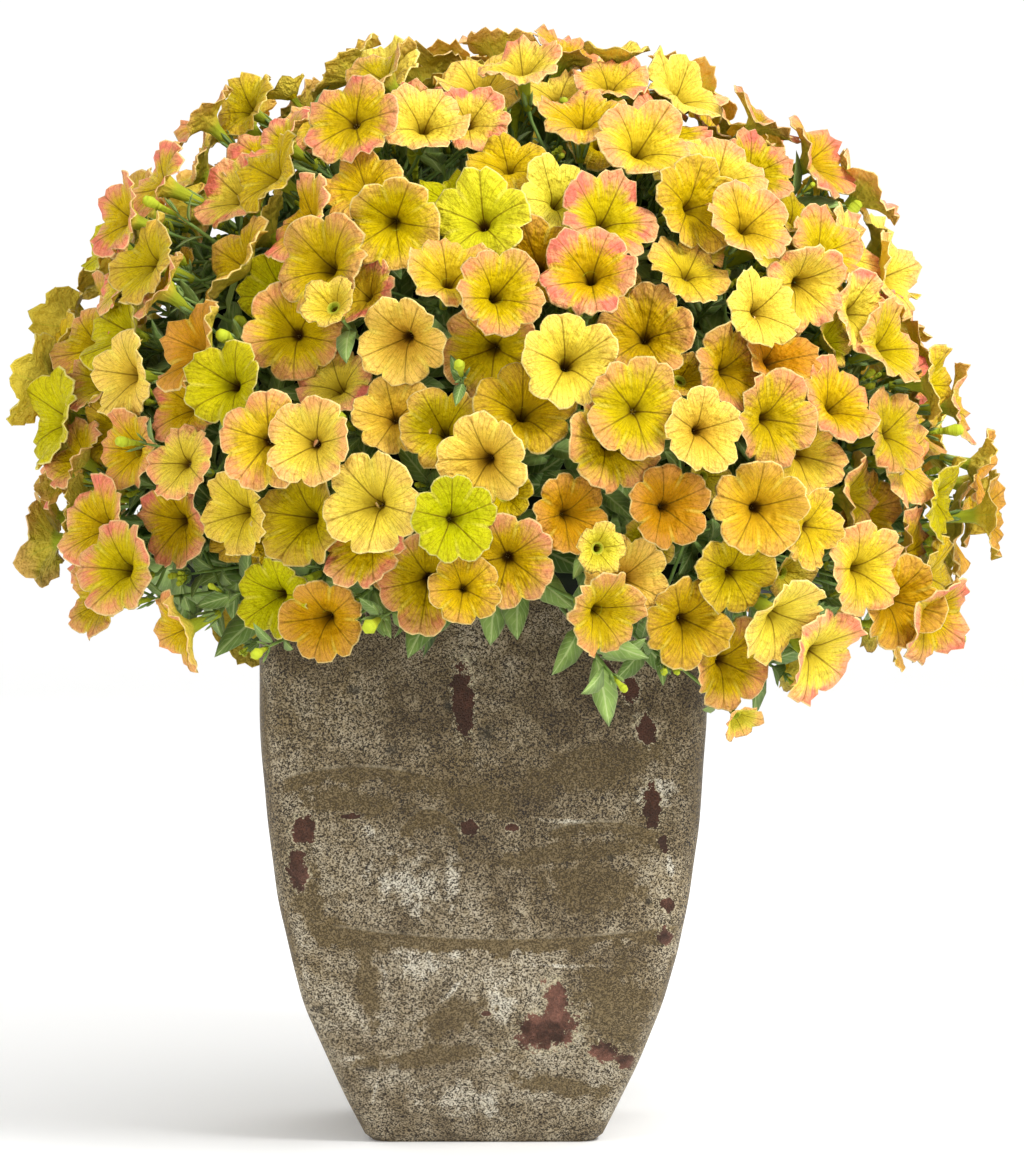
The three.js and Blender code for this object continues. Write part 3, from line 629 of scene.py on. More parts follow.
def petal_wobble(draw):
    """Random traits of one bloom's five petals."""
    traits = {"reach": [], "lift": [], "ruffle": [], "phase": [], "fold": [], "crimp": []}
    for _ in range(PETALS):
        traits["reach"].append(1 + 0.1 * (draw() - 0.5))
        traits["lift"].append(0.38 * (draw() - 0.6))
        traits["ruffle"].append(0.03 + 0.06 * draw())
        traits["phase"].append(2 * math.pi * draw())
        traits["fold"].append(0.6 + 0.8 * draw())
        traits["crimp"].append([draw() - 0.5 for _ in PETAL_STEPS])
    return traits


def shell_ring(share, height, face, traits, cup, warps):
    """One ring of the shell, with lobes, folds and ruffles that grow towards the rim."""
    ring = []
    outer = max(0.0, (share - 0.16) / 0.84)
    for petal in range(PETALS):
        for u, crimp in zip(PETAL_STEPS, traits["crimp"][petal]):
            turn = (petal + u / 2) * 2 * math.pi / PETALS
            neighbour = (petal + (1 if u > 0 else -1)) % PETALS
            toward = max(0.0, abs(u) - 0.5)
            lift = traits["lift"][petal] * (1 - toward) + traits["lift"][neighbour] * toward
            reach = traits["reach"][petal] * (1 - toward) + traits["reach"][neighbour] * toward
            notch = 0.19 * abs(u) ** 5 + 0.05 * math.exp(-((u / 0.16) ** 2))
            lobe = reach * (1 - notch * outer**1.5 + 0.05 * crimp * outer**4)
            fold = 0.1 * outer**1.2 * math.cos(math.pi * u) * traits["fold"][petal]
            groove = 0.045 * math.exp(-((u / 0.13) ** 2)) * min(1, outer * 3)
            wave = traits["ruffle"][petal] * outer**3 * math.sin(3.2 * math.pi * u + traits["phase"][petal])
            wave = wave * (1 - abs(u) ** 4) - 0.07 * crimp * outer**6
            saddle = warps[0] * math.cos(2 * turn + warps[1]) + warps[2] * math.cos(3 * turn + warps[3])
            rise = height * cup + fold - groove + wave + (saddle + lift) * outer**2
            bare = share * lobe if share > 0.16 else share
            ring.append((bare * math.cos(turn), bare * math.sin(turn), rise))
            face.append((share * math.cos(turn), share * math.sin(turn)))
    return ring


def loft_faces(rings, count, start=0):
    """Faces between rings that each have the same number of points."""
    faces = []
    for level in range(rings - 1):
        for i in range(count):
            a = start + level * count + i
            b = start + level * count + (i + 1) % count
            faces.append((a, b, b + count, a + count))
    return faces


def shell_faces(rings, count):
    """Faces between the rings of a shell, with a fan that closes each end."""
    faces = loft_faces(rings, count, 1)
    last = rings * count + 1
    for i in range(count):
        after = (i + 1) % count
        faces.append((1 + i, 1 + after, 0))
        faces.append((last - count + after, last - count + i, last))
    return faces


def bloom_shell(seed, cup):
    """Points, faces and petal places of one bloom, one unit in radius."""
    draw = seeded_draw(seed)
    traits = petal_wobble(draw)
    warps = [0.15 * draw(), 2 * math.pi * draw(), 0.09 * draw(), 2 * math.pi * draw()]
    points, flat, sides = [(0.0, 0.0, -0.72 * cup)], [(0.0, 0.0)], [1.0]
    for share, height in FACE_PROFILE:
        points += shell_ring(share, height, flat, traits, cup, warps)
        sides += [1.0] * SHELL_POINTS
    for share, height in BACK_PROFILE:
        points += shell_ring(share, height, flat, traits, cup if share > 0.2 else 1.0, warps)
        sides += [0.0 if share > 0.2 else -1.0 if share < 0.12 else -0.5] * SHELL_POINTS
    points.append((0.0, 0.0, BACK_PROFILE[-1][1] - 0.05))
    flat.append((0.0, 0.0))
    sides.append(-1.0)
    faces = shell_faces(len(FACE_PROFILE) + len(BACK_PROFILE), SHELL_POINTS)
    return points, faces, [(x, y, side) for (x, y), side in zip(flat, sides)]


points, faces, places = bloom_shell(1, 1.0)
print("one bloom shell:", len(points), "points,", len(faces), "faces")

# %% [markdown]
# Leaves, sepals and buds are all thin closed blades or spindles. A blade has a top and an underside that
# share one sharp edge, so it is closed with few faces, which matters when there are thousands. Each
# blade also stores how far across and along it each point lies, so its finish can draw the veins.

# %% Blades and spindles
# Stations along a blade: share of the length, half width
LEAF_OUTLINE = [(0.12, 0.36), (0.36, 0.94), (0.64, 0.88), (0.87, 0.42)]
SEPAL_OUTLINE = [(0.3, 0.85), (0.75, 0.8)]


def blade(length, width, droop, fold, thick=0.014, outline=LEAF_OUTLINE):
    """A leaf-like blade from the origin along +X, with its top towards +Z and a folded midrib."""
    points, places = [(0.0, 0.0, 0.0)], [(0.0, 0.0)]
    for share, half in outline:
        for across in (-1, 0, 1):
            height = fold * abs(across) * half * width - droop * length * share**2
            points.append((share * length, across * half * width / 2, height))
            places.append((across, share))
    points.append((length, 0.0, -droop * length))
    places.append((0.0, 1.0))
    tip = len(points) - 1
    under = {}
    for row in range(len(outline)):
        x, y, z = points[2 + row * 3]
        under[2 + row * 3] = len(points)
        points.append((x, y, z - thick * length))
        places.append(places[2 + row * 3])
    tops = []
    for row in range(len(outline) - 1):
        for a in (1 + row * 3, 2 + row * 3):
            tops.append((a, a + 3, a + 4, a + 1))
    for a in (1, 2):
        tops.append((0, a, a + 1))
        tops.append((tip, tip - 3 + a, tip - 4 + a))
    faces = tops + [tuple(under.get(i, i) for i in reversed(face)) for face in tops]
    return points, faces, [(x, y, 1.0) for x, y in places]


def spindle(stations, sides, side=0.0):
    """A closed turned form along +X: stations give distance and radius, the ends are points."""
    points = [(stations[0][0], 0.0, 0.0)]
    for reach, radius in stations[1:-1]:
        for i in range(sides):
            turn = 2 * math.pi * i / sides
            points.append((reach, radius * math.cos(turn), radius * math.sin(turn)))
    points.append((stations[-1][0], 0.0, 0.0))
    faces = loft_faces(len(stations) - 2, sides, 1)
    last = len(points) - 1
    for i in range(sides):
        after = (i + 1) % sides
        faces.append((0, 1 + after, 1 + i))
        faces.append((last, last - sides + i, last - sides + after))
    return points, faces, [(0.4, p[0] / stations[-1][0], side) for p in points]


def faces_outwards(mesh):
    """Turns the faces of a closed mesh outwards."""
    work = bmesh.new()
    work.from_mesh(mesh)
    bmesh.ops.recalc_face_normals(work, faces=work.faces)
    work.to_mesh(mesh)
    work.free()


class Form:
    """A mesh in the making: parts are added with a transform, a finish number and their places."""

    def __init__(self):
        self.points, self.faces, self.places, self.finish = [], [], [], []

    def add(self, part, transform=Matrix(), finish=0):
        points, faces, places = part
        start = len(self.points)
        self.points += [tuple(transform @ Vector(p)) for p in points]
        self.faces += [tuple(start + i for i in face) for face in faces]
        self.places += places
        self.finish += [finish] * len(faces)

    def mesh(self, name):
        """The finished mesh, with the attributes that its finish reads and its faces outwards."""
        made = bpy.data.meshes.new(name)
        made.from_pydata(self.points, [], self.faces)
        layer = made.attributes.new("place", "FLOAT_VECTOR", "POINT")
        layer.data.foreach_set("vector", np.array(self.places, float).ravel())
        layer = made.attributes.new("finish", "INT", "FACE")
        layer.data.foreach_set("value", self.finish)
        faces_outwards(made)
        made.shade_smooth()
        return made


points, faces, places = blade(1.0, 0.4, 0.1, 0.2)
print("one leaf blade:", len(points), "points,", len(faces), "faces")

# %% [markdown]
# The copies that Geometry Nodes place are kept in small collections outside the scene, so that the
# originals themselves never show. First the blooms: a shell, five sepals that hold the tube, and five
# pale anthers deep in the throat.

# %% Bloom originals
BLOOM_VARIANTS = 10
FINISH_PETAL, FINISH_GREEN, FINISH_ANTHER, FINISH_CORE = 0, 1, 2, 3
ANTHER_STATIONS = [(0, 0), (0.012, 0.008), (0.034, 0.01), (0.045, 0)]


def originals(name, meshes):
    """A collection of meshes to copy from, which isn't part of the scene."""
    group = bpy.data.collections.new(name)
    for number, mesh in enumerate(meshes):
        group.objects.link(bpy.data.objects.new(f"{name}_{number:02d}", mesh))
    return group


def cup_of(number):
    """How deep the face of one original is."""
    return 0.62 + 0.8 * seeded_draw(900 + number)()


def original_shell(number):
    """The shell of one original."""
    return bloom_shell(700 + number, cup_of(number))


def bloom_original(number):
    """A whole flower, one unit in radius, facing +Z."""
    draw = seeded_draw(950 + number)
    form = Form()
    form.add(original_shell(number))
    for k in range(PETALS):
        turn = Matrix.Rotation(2 * math.pi * (k + 0.4 * draw()) / PETALS, 4, "Z")
        flare = Matrix.Rotation(-math.radians(66 + 18 * draw()), 4, "Y")
        place = turn @ Matrix.Translation((0.075, 0, -1.2)) @ flare
        sepal = blade(0.44 + 0.12 * draw(), 0.13, -0.12, 0.2, 0.05, SEPAL_OUTLINE)
        form.add(sepal, place, FINISH_GREEN)
    for k in range(PETALS):
        turn = Matrix.Rotation(2 * math.pi * (k + 0.3) / PETALS, 4, "Z")
        height = 0.08 * draw() - 0.72 * cup_of(number)
        place = turn @ Matrix.Translation((0.01 + 0.03 * draw(), 0, height)) @ Matrix.Rotation(-1.1, 4, "Y")
        form.add(spindle(ANTHER_STATIONS, 4), place, FINISH_ANTHER)
    return form.mesh(f"bloom_{number:02d}")


bloom_originals = originals("bloom_originals", [bloom_original(n) for n in range(BLOOM_VARIANTS)])

# %% [markdown]
# The growth rule knows blooms as flat discs, but real ones are cupped, folded and warped. So each bloom's
# own form, in a few rings and with its tube, is laid against its neighbours with a search tree for faces.
# Where two cut through each other, the later one is lifted, leaned or made a little smaller until it
# comes clear, the gentlest way first, as petals do when they push each other aside.

# %% Bending the blooms clear of each other
ROUGH_RINGS = [1, 3, 5, 7, 10]
NEAR_BLOOM = 105


def rough_bloom(number):
    """Points in units of the radius, and faces, of a plain version of one original and its tube."""
    shell = original_shell(number)[0]
    points = [shell[1 + ring * SHELL_POINTS + i] for ring in ROUGH_RINGS for i in range(0, SHELL_POINTS, 2)]
    return np.array(points), loft_faces(len(ROUGH_RINGS), SHELL_POINTS // 2)


rough_blooms = [rough_bloom(number) for number in range(BLOOM_VARIANTS)]


def bloom_matrix(axis, spin):
    """The columns that turn a bloom's own +Z to its axis, spun as its solid is."""
    side, rise = across_of(axis)
    x = side * math.cos(spin) + rise * math.sin(spin)
    return np.stack([x, np.cross(axis, x), axis], axis=1)


def bloom_shape(centre, axis, radius, spin, variant, knot):
    """A search tree of the faces of one bloom where it stands, with its tube."""
    unit_points, faces = rough_blooms[variant]
    turn = bloom_matrix(axis, spin)
    points = centre + unit_points @ turn.T * radius
    throat = centre - axis * radius * 0.5
    foot = centre - axis * radius * 1.25
    far = foot + (knot - foot) * 0.6 - axis * 6
    for side in (turn[:, 0], turn[:, 1]):
        start = len(points)
        ribbon = []
        for middle, half in ((throat, 3), (foot, 2.6), (far, 1.6)):
            ribbon += [middle - side * half, middle + side * half]
        points = np.vstack([points, ribbon])
        faces = faces + [tuple(start + i for i in face) for face in ((0, 1, 3, 2), (2, 3, 5, 4))]
    return BVHTree.FromPolygons(points.tolist(), faces)


def ways_clear():
    """Size, lean, direction of the lean and lift, the gentlest first."""
    ways = [(1.0, 0.0, 0.0, 0.0)]
    for size in (1.0, 0.93, 0.86, 0.78):
        for lift in (0, 5, -5, 10, -10, 16):
            for lean in (0.13, 0.26, 0.4):
                ways += [(size, lean, turn * math.pi / 4, lift) for turn in range(8)]
            ways.append((size, 0.0, 0.0, lift))
    return sorted(ways, key=lambda way: (1 - way[0]) * 4 + way[1] + abs(way[3]) / 25)


def bend_blooms_clear():
    """Moves the blooms that cut through others, and keeps each one's search tree."""
    shapes, left = [], 0
    for i, variant in enumerate(blooms["variant"]):
        centre, axis = blooms["centre"][i].copy(), blooms["axis"][i].copy()
        radius, spin, knot = blooms["radius"][i], blooms["spin"][i], blooms["knot"][i]
        side, rise = across_of(axis)
        near = np.flatnonzero(np.linalg.norm(blooms["centre"][:i] - centre, axis=1) < NEAR_BLOOM)
        best = None
        for size, lean, turn, lift in WAYS_CLEAR:
            leaned = unit(axis + (side * math.cos(turn) + rise * math.sin(turn)) * lean)
            moved = centre + axis * lift
            shape = bloom_shape(moved, leaned, radius * size, spin, variant, knot)
            cuts = sum(len(shape.overlap(shapes[j])) for j in near)
            if best is None or cuts < best[0]:
                best = (cuts, moved, leaned, radius * size, shape)
            if cuts == 0:
                break
        left += best[0] > 0
        blooms["centre"][i], blooms["axis"][i], blooms["radius"][i] = best[1:4]
        shapes.append(best[4])
    return shapes, left


WAYS_CLEAR = ways_clear()
draw_variant = seeded_draw(808)
blooms["variant"] = np.array([int(draw_variant() * BLOOM_VARIANTS) for _ in range(BLOOM_COUNT)])
planned = blooms["centre"].copy(), blooms["radius"].copy()
bloom_shapes, still_cut = bend_blooms_clear()
moved = np.linalg.norm(blooms["centre"] - planned[0], axis=1)
shrunk = blooms["radius"] / planned[1]
print("blooms moved:", int(np.sum(moved > 1)), "made smaller:", int(np.sum(shrunk < 1)))
print("blooms that still cut a neighbour:", still_cut)

# %% [markdown]
# Leaves of a petunia are oval with a blunt point, soft and slightly folded along the midrib, with a
# drooping tip. Five of them are enough for the dense layer. What pushes out between the blooms comes in
# four kinds: leafy shoots with their leaves in a spiral, the youngest and steepest at the tip, sprigs of
# a few broad leaves, small young flowers, and slim buds, still green and held by their sepals.

# %% Leaf, shoot and bud originals
LEAF_VARIANTS = 5
SHOOT_KINDS = ["shoot", "young", "sprig", "bud"]
YOUNG_RINGS = [0, 2, 4, 6, 8, 10, 12, 13, 14, 15, 17]
YOUNG_RADIUS = 17
SHOOT_VARIANTS = 12
SHOOT_LENGTH = 60
TWIG_RADIUS = 1.2


def leaf_original(number):
    """A leaf one unit long, from its foot along +X with its top towards +Z."""
    draw = seeded_draw(40 + number)
    form = Form()
    leaf = blade(1.0, 0.38 + 0.12 * draw(), 0.06 + 0.3 * draw(), 0.12 + 0.2 * draw())
    form.add(leaf, finish=FINISH_GREEN)
    return form.mesh(f"leaf_{number:02d}")


def bud(form, place, reach, draw):
    """A closed bud along +X: a green trumpet still folded, in five sepals."""
    profile = [(0, 0), (0.2, 0.06), (0.55, 0.085), (0.8, 0.15), (0.95, 0.11), (1, 0)]
    form.add(spindle([(x * reach, y * reach) for x, y in profile], 6, -1.0), place, FINISH_PETAL)
    for s in range(PETALS):
        around = Matrix.Rotation(s * 2 * math.pi / PETALS + 0.4 * draw(), 4, "X")
        flare = Matrix.Rotation(-0.15 - 0.35 * draw(), 4, "Y")
        sepal = around @ Matrix.Translation((0, 0, 0.05 * reach)) @ flare
        slip = blade(reach * (0.45 + 0.2 * draw()), 2.8, -0.1, 0.2, 0.06, SEPAL_OUTLINE)
        form.add(slip, place @ sepal, FINISH_GREEN)


def young_bloom(seed):
    """A flower that has just opened: a deep, plainer shell with fewer faces."""
    points, _, places = bloom_shell(seed, 1.7)
    kept = [1 + ring * SHELL_POINTS + i for ring in YOUNG_RINGS for i in range(0, SHELL_POINTS, 2)]
    kept = [0] + kept + [len(points) - 1]
    faces = shell_faces(len(YOUNG_RINGS), SHELL_POINTS // 2)
    return [points[i] for i in kept], faces, [places[i] for i in kept]


def shoot_original(number):
    """A shoot, sprig, bud or young flower along +Z in metres, as long as all the others."""
    draw = seeded_draw(60 + number)
    kind = SHOOT_KINDS[number % len(SHOOT_KINDS)]
    form = Form()
    scale = Matrix.Scale(MM, 4)
    share = {"shoot": 0.94, "sprig": 0.62, "bud": 0.5, "young": 0.54}[kind]
    length = SHOOT_LENGTH * share * (0.94 + 0.12 * draw())
    twig = [(-24, 0), (-22, TWIG_RADIUS * 1.2), (length * 0.5, TWIG_RADIUS), (length, 0.8), (length + 1, 0)]
    form.add(spindle(twig, 5), scale @ Matrix.Rotation(-math.pi / 2, 4, "Y"), FINISH_GREEN)
    if kind == "young":
        radius = YOUNG_RADIUS * (0.85 + 0.4 * draw())
        lean = Matrix.Rotation(0.5 * (draw() - 0.5), 4, "X")
        place = Matrix.Translation((0, 0, length)) @ lean @ Matrix.Translation((0, 0, radius * 1.2))
        form.add(young_bloom(740 + number), scale @ place @ Matrix.Scale(radius, 4))
    leaves = {"shoot": 8, "sprig": 3, "bud": 2, "young": 2}[kind]
    for k in range(leaves):
        share = k / (leaves - 1)
        size, steep = {
            "shoot": (34 - 20 * share, 26 + 46 * share),
            "sprig": (44 - 8 * share, 46 + 16 * share),
            "bud": (24, 50),
            "young": (26, 44),
        }[kind]
        size *= 0.85 + 0.3 * draw()
        pitch = math.radians(steep + 16 * (draw() - 0.5))
        height = (length - 3) * (0.15 + 0.85 * share if kind == "shoot" else 0.2 + 0.5 * share)
        turn = Matrix.Rotation(k * GOLDEN_TURN + 0.5 * draw(), 4, "Z")
        place = turn @ Matrix.Translation((0.8, 0, height)) @ Matrix.Rotation(-pitch, 4, "Y")
        leaf = blade(size, size * (0.36 + 0.12 * draw()), 0.1 + 0.3 * draw(), 0.16)
        form.add(leaf, scale @ place, FINISH_GREEN)
    for k in range({"shoot": 4, "sprig": 1, "bud": 1, "young": 0}[kind]):
        turn = Matrix.Rotation(k * 2.2 + draw(), 4, "Z")
        steep = math.radians(88 - 8 * draw() if kind == "bud" else 50 + 34 * draw())
        place = turn @ Matrix.Translation((0.3, 0, length - 3)) @ Matrix.Rotation(-steep, 4, "Y")
        bud(form, scale @ place, 27 + 5 * draw() if kind == "bud" else 10 + 8 * draw(), draw)
    return form.mesh(f"shoot_{number:02d}")


leaf_originals = originals("leaf_originals", [leaf_original(n) for n in range(LEAF_VARIANTS)])
shoot_originals = originals("shoot_originals", [shoot_original(n) for n in range(SHOOT_VARIANTS)])

# %% [markdown]
# The petals' colour is what makes this petunia. Olive gold runs out of a dusky throat and turns to peach
# and dusty pink towards the rim on half of the flowers; others stay gold, fade to pale yellow, age to
# burnt orange or open lime. Five dark midribs, forked side veins and a fine net between them rule every
# face. The colours follow the flower, not the space it hangs in, so the finish reads the place attribute:
# the flat position on the flower's disc and the side. Three tint values that each copy carries shift it.

# %% Finish of the petals
GOLD = srgb(228, 194, 0)
DEEP_GOLD = srgb(188, 152, 0)
LIME_GOLD = srgb(204, 208, 0)
PALE_YELLOW = srgb(250, 232, 104)
BURNT_ORANGE = srgb(200, 122, 6)
PEACH = srgb(242, 180, 120)
DUSTY_PINK = srgb(224, 120, 100)
VEIN_OLIVE = srgb(138, 108, 0)
VEIN_RED = srgb(176, 84, 44)
MIDRIB_OLIVE = srgb(104, 78, 4)
THROAT_BROWN = srgb(84, 50, 8)
CREAM = srgb(250, 234, 160)
PETAL_BACK = srgb(226, 204, 70)
TUBE_GREEN = srgb(176, 188, 48)


def fine_line(value, half, edge):
    """1 where a repeating measure is near the middle of each step, and 0 elsewhere."""
    off = maths("ABSOLUTE", minus(maths("FRACT", value), 0.5))
    return soft_step(half + edge, half, off)


def petal_finish():
    """Gold to pink petals with midribs, forked veins, a dusky throat and a thin pale margin."""
    gleam = {"Specular_IOR_Level": 0.16, "Specular_Tint": (1.0, 0.84, 0.4, 1.0)}
    made, tree, shader = new_finish("petunia_petals", 0.5, **gleam)
    across, up, side = mesh_values(tree, "place")
    peachy, shift, chance = mesh_values(tree, "tint")
    reach = maths("SQRT", add(times(across, across), times(up, up)))
    petal = times_add(maths("ARCTAN2", up, across), PETALS / (2 * math.pi), 10.5)
    # 0 on a midrib, 1 in the fold between two petals
    aside = maths("ABSOLUTE", times_add(maths("FRACT", petal), 2.0, -1.0))
    seed = times(chance, 37.0)

    # Veins leave the midrib at a small angle, so they lie along lines of this slanted measure
    slant = minus(aside, times(reach, 0.45))
    own_petal = add(seed, times(maths("FLOOR", petal), 3.7))
    vein_place = vector_of(times(slant, 11.0), times(reach, 3.4), own_petal)
    streak = cloudy(vein_place, 1.0, 4.0, 0.65)
    wander = times_add(streak, 1.1, -0.55)
    forks = fine_line(add(times(slant, 4.2), wander), 0.02, 0.11)
    fine = {"Vector": vein_place, "Scale": 2.6}
    net = node(tree, "ShaderNodeTexVoronoi", fine, feature="DISTANCE_TO_EDGE")
    net = soft_step(0.12, 0.01, net.outputs["Distance"])
    blotch_place = vector_of(times(across, 1.7), times(up, 1.7), seed)
    blotch = cloudy(blotch_place, 1.0, 3.0)

    # The pink zone lies outside, reaches further in along streaks, and stays off the folds
    fold = soft_step(0.7, 1.0, aside)
    zone = add(reach, times_add(streak, 0.5, -0.25))
    zone = add(zone, times_add(blotch, 0.6, -0.3))
    zone = minus(zone, times(fold, 0.3))
    zone = times(soft_step(0.46, 1.02, zone), peachy, clamp=True)

    # A shift above 0 turns the gold lime, one below 0 turns it burnt orange
    gold = blend_colour(soft_step(0.34, 0.68, streak), GOLD, DEEP_GOLD)
    gold = blend_colour(times(shift, 1.0, clamp=True), gold, LIME_GOLD)
    gold = blend_colour(times(shift, -0.85, clamp=True), gold, BURNT_ORANGE)
    faded = times(soft_step(0.74, 1.0, chance), times_add(reach, 0.6, 0.1))
    gold = blend_colour(faded, gold, PALE_YELLOW)
    pink_share = times(soft_step(0.36, 0.76, blotch), peachy, clamp=True)
    colour = blend_colour(zone, gold, blend_colour(pink_share, PEACH, DUSTY_PINK))
    open_face = soft_step(0.12, 0.4, reach)
    vein_share = maths("MAXIMUM", times(forks, 0.55), times(net, 0.42))
    vein = blend_colour(zone, VEIN_OLIVE, VEIN_RED)
    colour = blend_colour(times(vein_share, open_face), colour, vein)
    fold_share = times(soft_step(0.84, 1.0, aside), soft_step(0.35, 0.7, reach))
    colour = blend_colour(times(fold_share, 0.35), colour, PALE_YELLOW)

    # The midrib is a line of constant width, so its measure is an arc length and not an angle
    off_midrib = times(times(aside, reach), math.pi / PETALS)
    off_midrib = add(off_midrib, times_add(streak, 0.014, -0.007))
    midrib = times(soft_step(0.026, 0.004, off_midrib), times_add(reach, -0.5, 0.95))
    colour = blend_colour(midrib, colour, MIDRIB_OLIVE)
    dark_reach = add(reach, times_add(streak, 0.44, -0.22))
    dusk = times(soft_step(0.42, 0.08, dark_reach), 0.5)
    colour = blend_colour(dusk, colour, MIDRIB_OLIVE)
    dark_reach = add(reach, times_add(streak, 0.2, -0.1))
    dark = times_add(maths("FRACT", times(chance, 7.3)), 0.7, 0.3)
    dark = times(soft_step(0.17, 0.06, dark_reach), dark)
    colour = blend_colour(dark, colour, THROAT_BROWN)
    colour = blend_colour(times(soft_step(0.95, 0.99, reach), 0.6), colour, CREAM)

    # Outside of the trumpet: paler, and green at the tube
    back = blend_colour(times(midrib, 0.5), PETAL_BACK, TUBE_GREEN)
    back = blend_colour(times(zone, 0.6), back, PEACH)
    back = blend_colour(soft_step(0.0, -0.6, side), back, TUBE_GREEN)
    colour = blend_colour(soft_step(0.9, 0.5, side), colour, back)
    # Each bloom's lightness: random, and raised on the upper blooms, which is painted light from above
    light = times_add(chance, 0.36, 0.8)
    light = add(light, times_add(blotch, 0.5, -0.25))
    colour = node(tree, "ShaderNodeHueSaturation", {"Value": light, "Color": colour}).outputs[0]
    feed(shader.inputs["Base Color"], colour)
    # A bump works out its height three times over, so the relief is of the streaks and a crumple alone
    relief = times(streak, 1.2)
    crumple = node(tree, "ShaderNodeMapping", {"Vector": blotch_place, "Scale": (3.2, 3.2, 1.0)}).outputs[0]
    relief = times_add(cloudy(crumple, 1.0, 2.0), 6.0, relief)
    roughen(shader, relief, 0.7, 0.0013)
    return made


petals = petal_finish()
print("petal finish:", len(petals.node_tree.nodes), "nodes")

# %% [markdown]
# Leaves, stalks and buds share one downy green. Down scatters light at the edges, which the sheen of
# the shader gives. The place attribute draws a pale midrib and side veins on every blade.

# %% Finishes of the greenery and the anthers


def green_finish(name, dark, light, vein):
    """Soft green with a paler midrib, side veins and a downy sheen."""
    down = {"Sheen_Weight": 0.06, "Sheen_Roughness": 0.5}
    made, tree, shader = new_finish(name, 0.6, Specular_IOR_Level=0.2, **down)
    across, along, is_leaf = mesh_values(tree, "place")
    own_light = mesh_values(tree, "tint")[2]
    aside = maths("ABSOLUTE", across)
    spot = object_place(tree)
    mottle = cloudy(spot, 90.0, 3.0)
    share = add(times(mottle, 0.7), times_add(own_light, 0.6, -0.3))
    colour = blend_colour(soft_step(0.1, 0.8, share), dark, light)
    slope = minus(times(along, 8.0), times(aside, 2.4))
    side_vein = soft_step(0.16, 0.05, maths("ABSOLUTE", minus(maths("FRACT", slope), 0.5)))
    midrib = soft_step(0.13, 0.03, aside)
    veins = maths("MAXIMUM", midrib, times(side_vein, 0.4))
    veins = times(times(veins, is_leaf), 0.6)
    colour = blend_colour(veins, colour, vein)
    edge = times(soft_step(0.86, 1.0, aside), 0.35)
    colour = blend_colour(times(edge, is_leaf), colour, vein)
    feed(shader.inputs["Base Color"], colour)
    relief = minus(cloudy(spot, 700.0, 2.0), veins)
    roughen(shader, relief, 0.4, 0.0006)
    return made


greenery = green_finish("downy_green", srgb(86, 116, 48), srgb(150, 178, 92), srgb(192, 206, 142))
# The core's near-black greens are painted shade: the leaves' finish, darkened for the plant's inside where
# no light reaches.
undergrowth = green_finish("painted_shade_undergrowth", srgb(16, 26, 10), srgb(38, 56, 22), srgb(44, 60, 28))
anthers, tree, shader = new_finish("anthers", 0.7)
pollen = blend_colour(cloudy(object_place(tree), 1500.0), srgb(196, 178, 118), srgb(140, 116, 62))
feed(shader.inputs["Base Color"], pollen)
FINISHES = [petals, greenery, anthers, undergrowth]

# %% [markdown]
# A spray is a stalk, a knot and five to fourteen blooms. Its tree takes a mesh of bare points: one loose
# point for each bloom, which carries its turn, size, variant and tint, and chains of edges for the
# stalks, which carry a thickness. Copies go on the loose points, and the chains become curves and then
# round stalks. Realize Instances makes one mesh of it, and Set Material reads each face's finish number.

# %% Geometry Nodes for a bloom spray


def new_tree(name, sizes):
    """An empty Geometry Nodes tree with named size inputs."""
    tree = bpy.data.node_groups.new(name, "GeometryNodeTree")
    tree.interface.new_socket("Geometry", in_out="INPUT", socket_type="NodeSocketGeometry")
    for title, kind, value in sizes:
        tree.interface.new_socket(title, in_out="INPUT", socket_type=kind).default_value = value
    tree.interface.new_socket("Geometry", in_out="OUTPUT", socket_type="NodeSocketGeometry")
    return tree, tree.nodes.new("NodeGroupInput").outputs, tree.nodes.new("NodeGroupOutput").inputs


def carried(tree, name, kind):
    """A named attribute, read inside a tree."""
    return node(tree, "GeometryNodeInputNamedAttribute", {"Name": name}, data_type=kind).outputs["Attribute"]


def copies_on_points(tree, points, group, only):
    """Copies from a collection, turned, sized and picked by what each point carries."""
    info = node(tree, "GeometryNodeCollectionInfo", {"Collection": group, "Separate Children": True})
    return node(tree, "GeometryNodeInstanceOnPoints", {
        "Points": points,
        "Selection": only,
        "Instance": info.outputs[0],
        "Pick Instance": True,
        "Instance Index": carried(tree, "variant", "INT"),
        "Rotation": carried(tree, "turn", "FLOAT_VECTOR"),
        "Scale": carried(tree, "size", "FLOAT"),
    }).outputs[0]


def round_stalks(tree, mesh, only, sides):
    """Chains of edges as round stalks with closed ends."""
    curve = node(tree, "GeometryNodeMeshToCurve", {"Mesh": mesh, "Selection": only}).outputs[0]
    circle = node(tree, "GeometryNodeCurvePrimitiveCircle", {"Resolution": sides, "Radius": 1.0}).outputs[0]
    tube = node(tree, "GeometryNodeCurveToMesh", {
        "Curve": curve,
        "Profile Curve": circle,
        "Scale": carried(tree, "thickness", "FLOAT"),
        "Fill Caps": True,
    })
    stored = {"Geometry": tube.outputs[0], "Name": "finish", "Value": FINISH_GREEN}
    return node(tree, "GeometryNodeStoreNamedAttribute", stored, data_type="INT", domain="FACE").outputs[0]


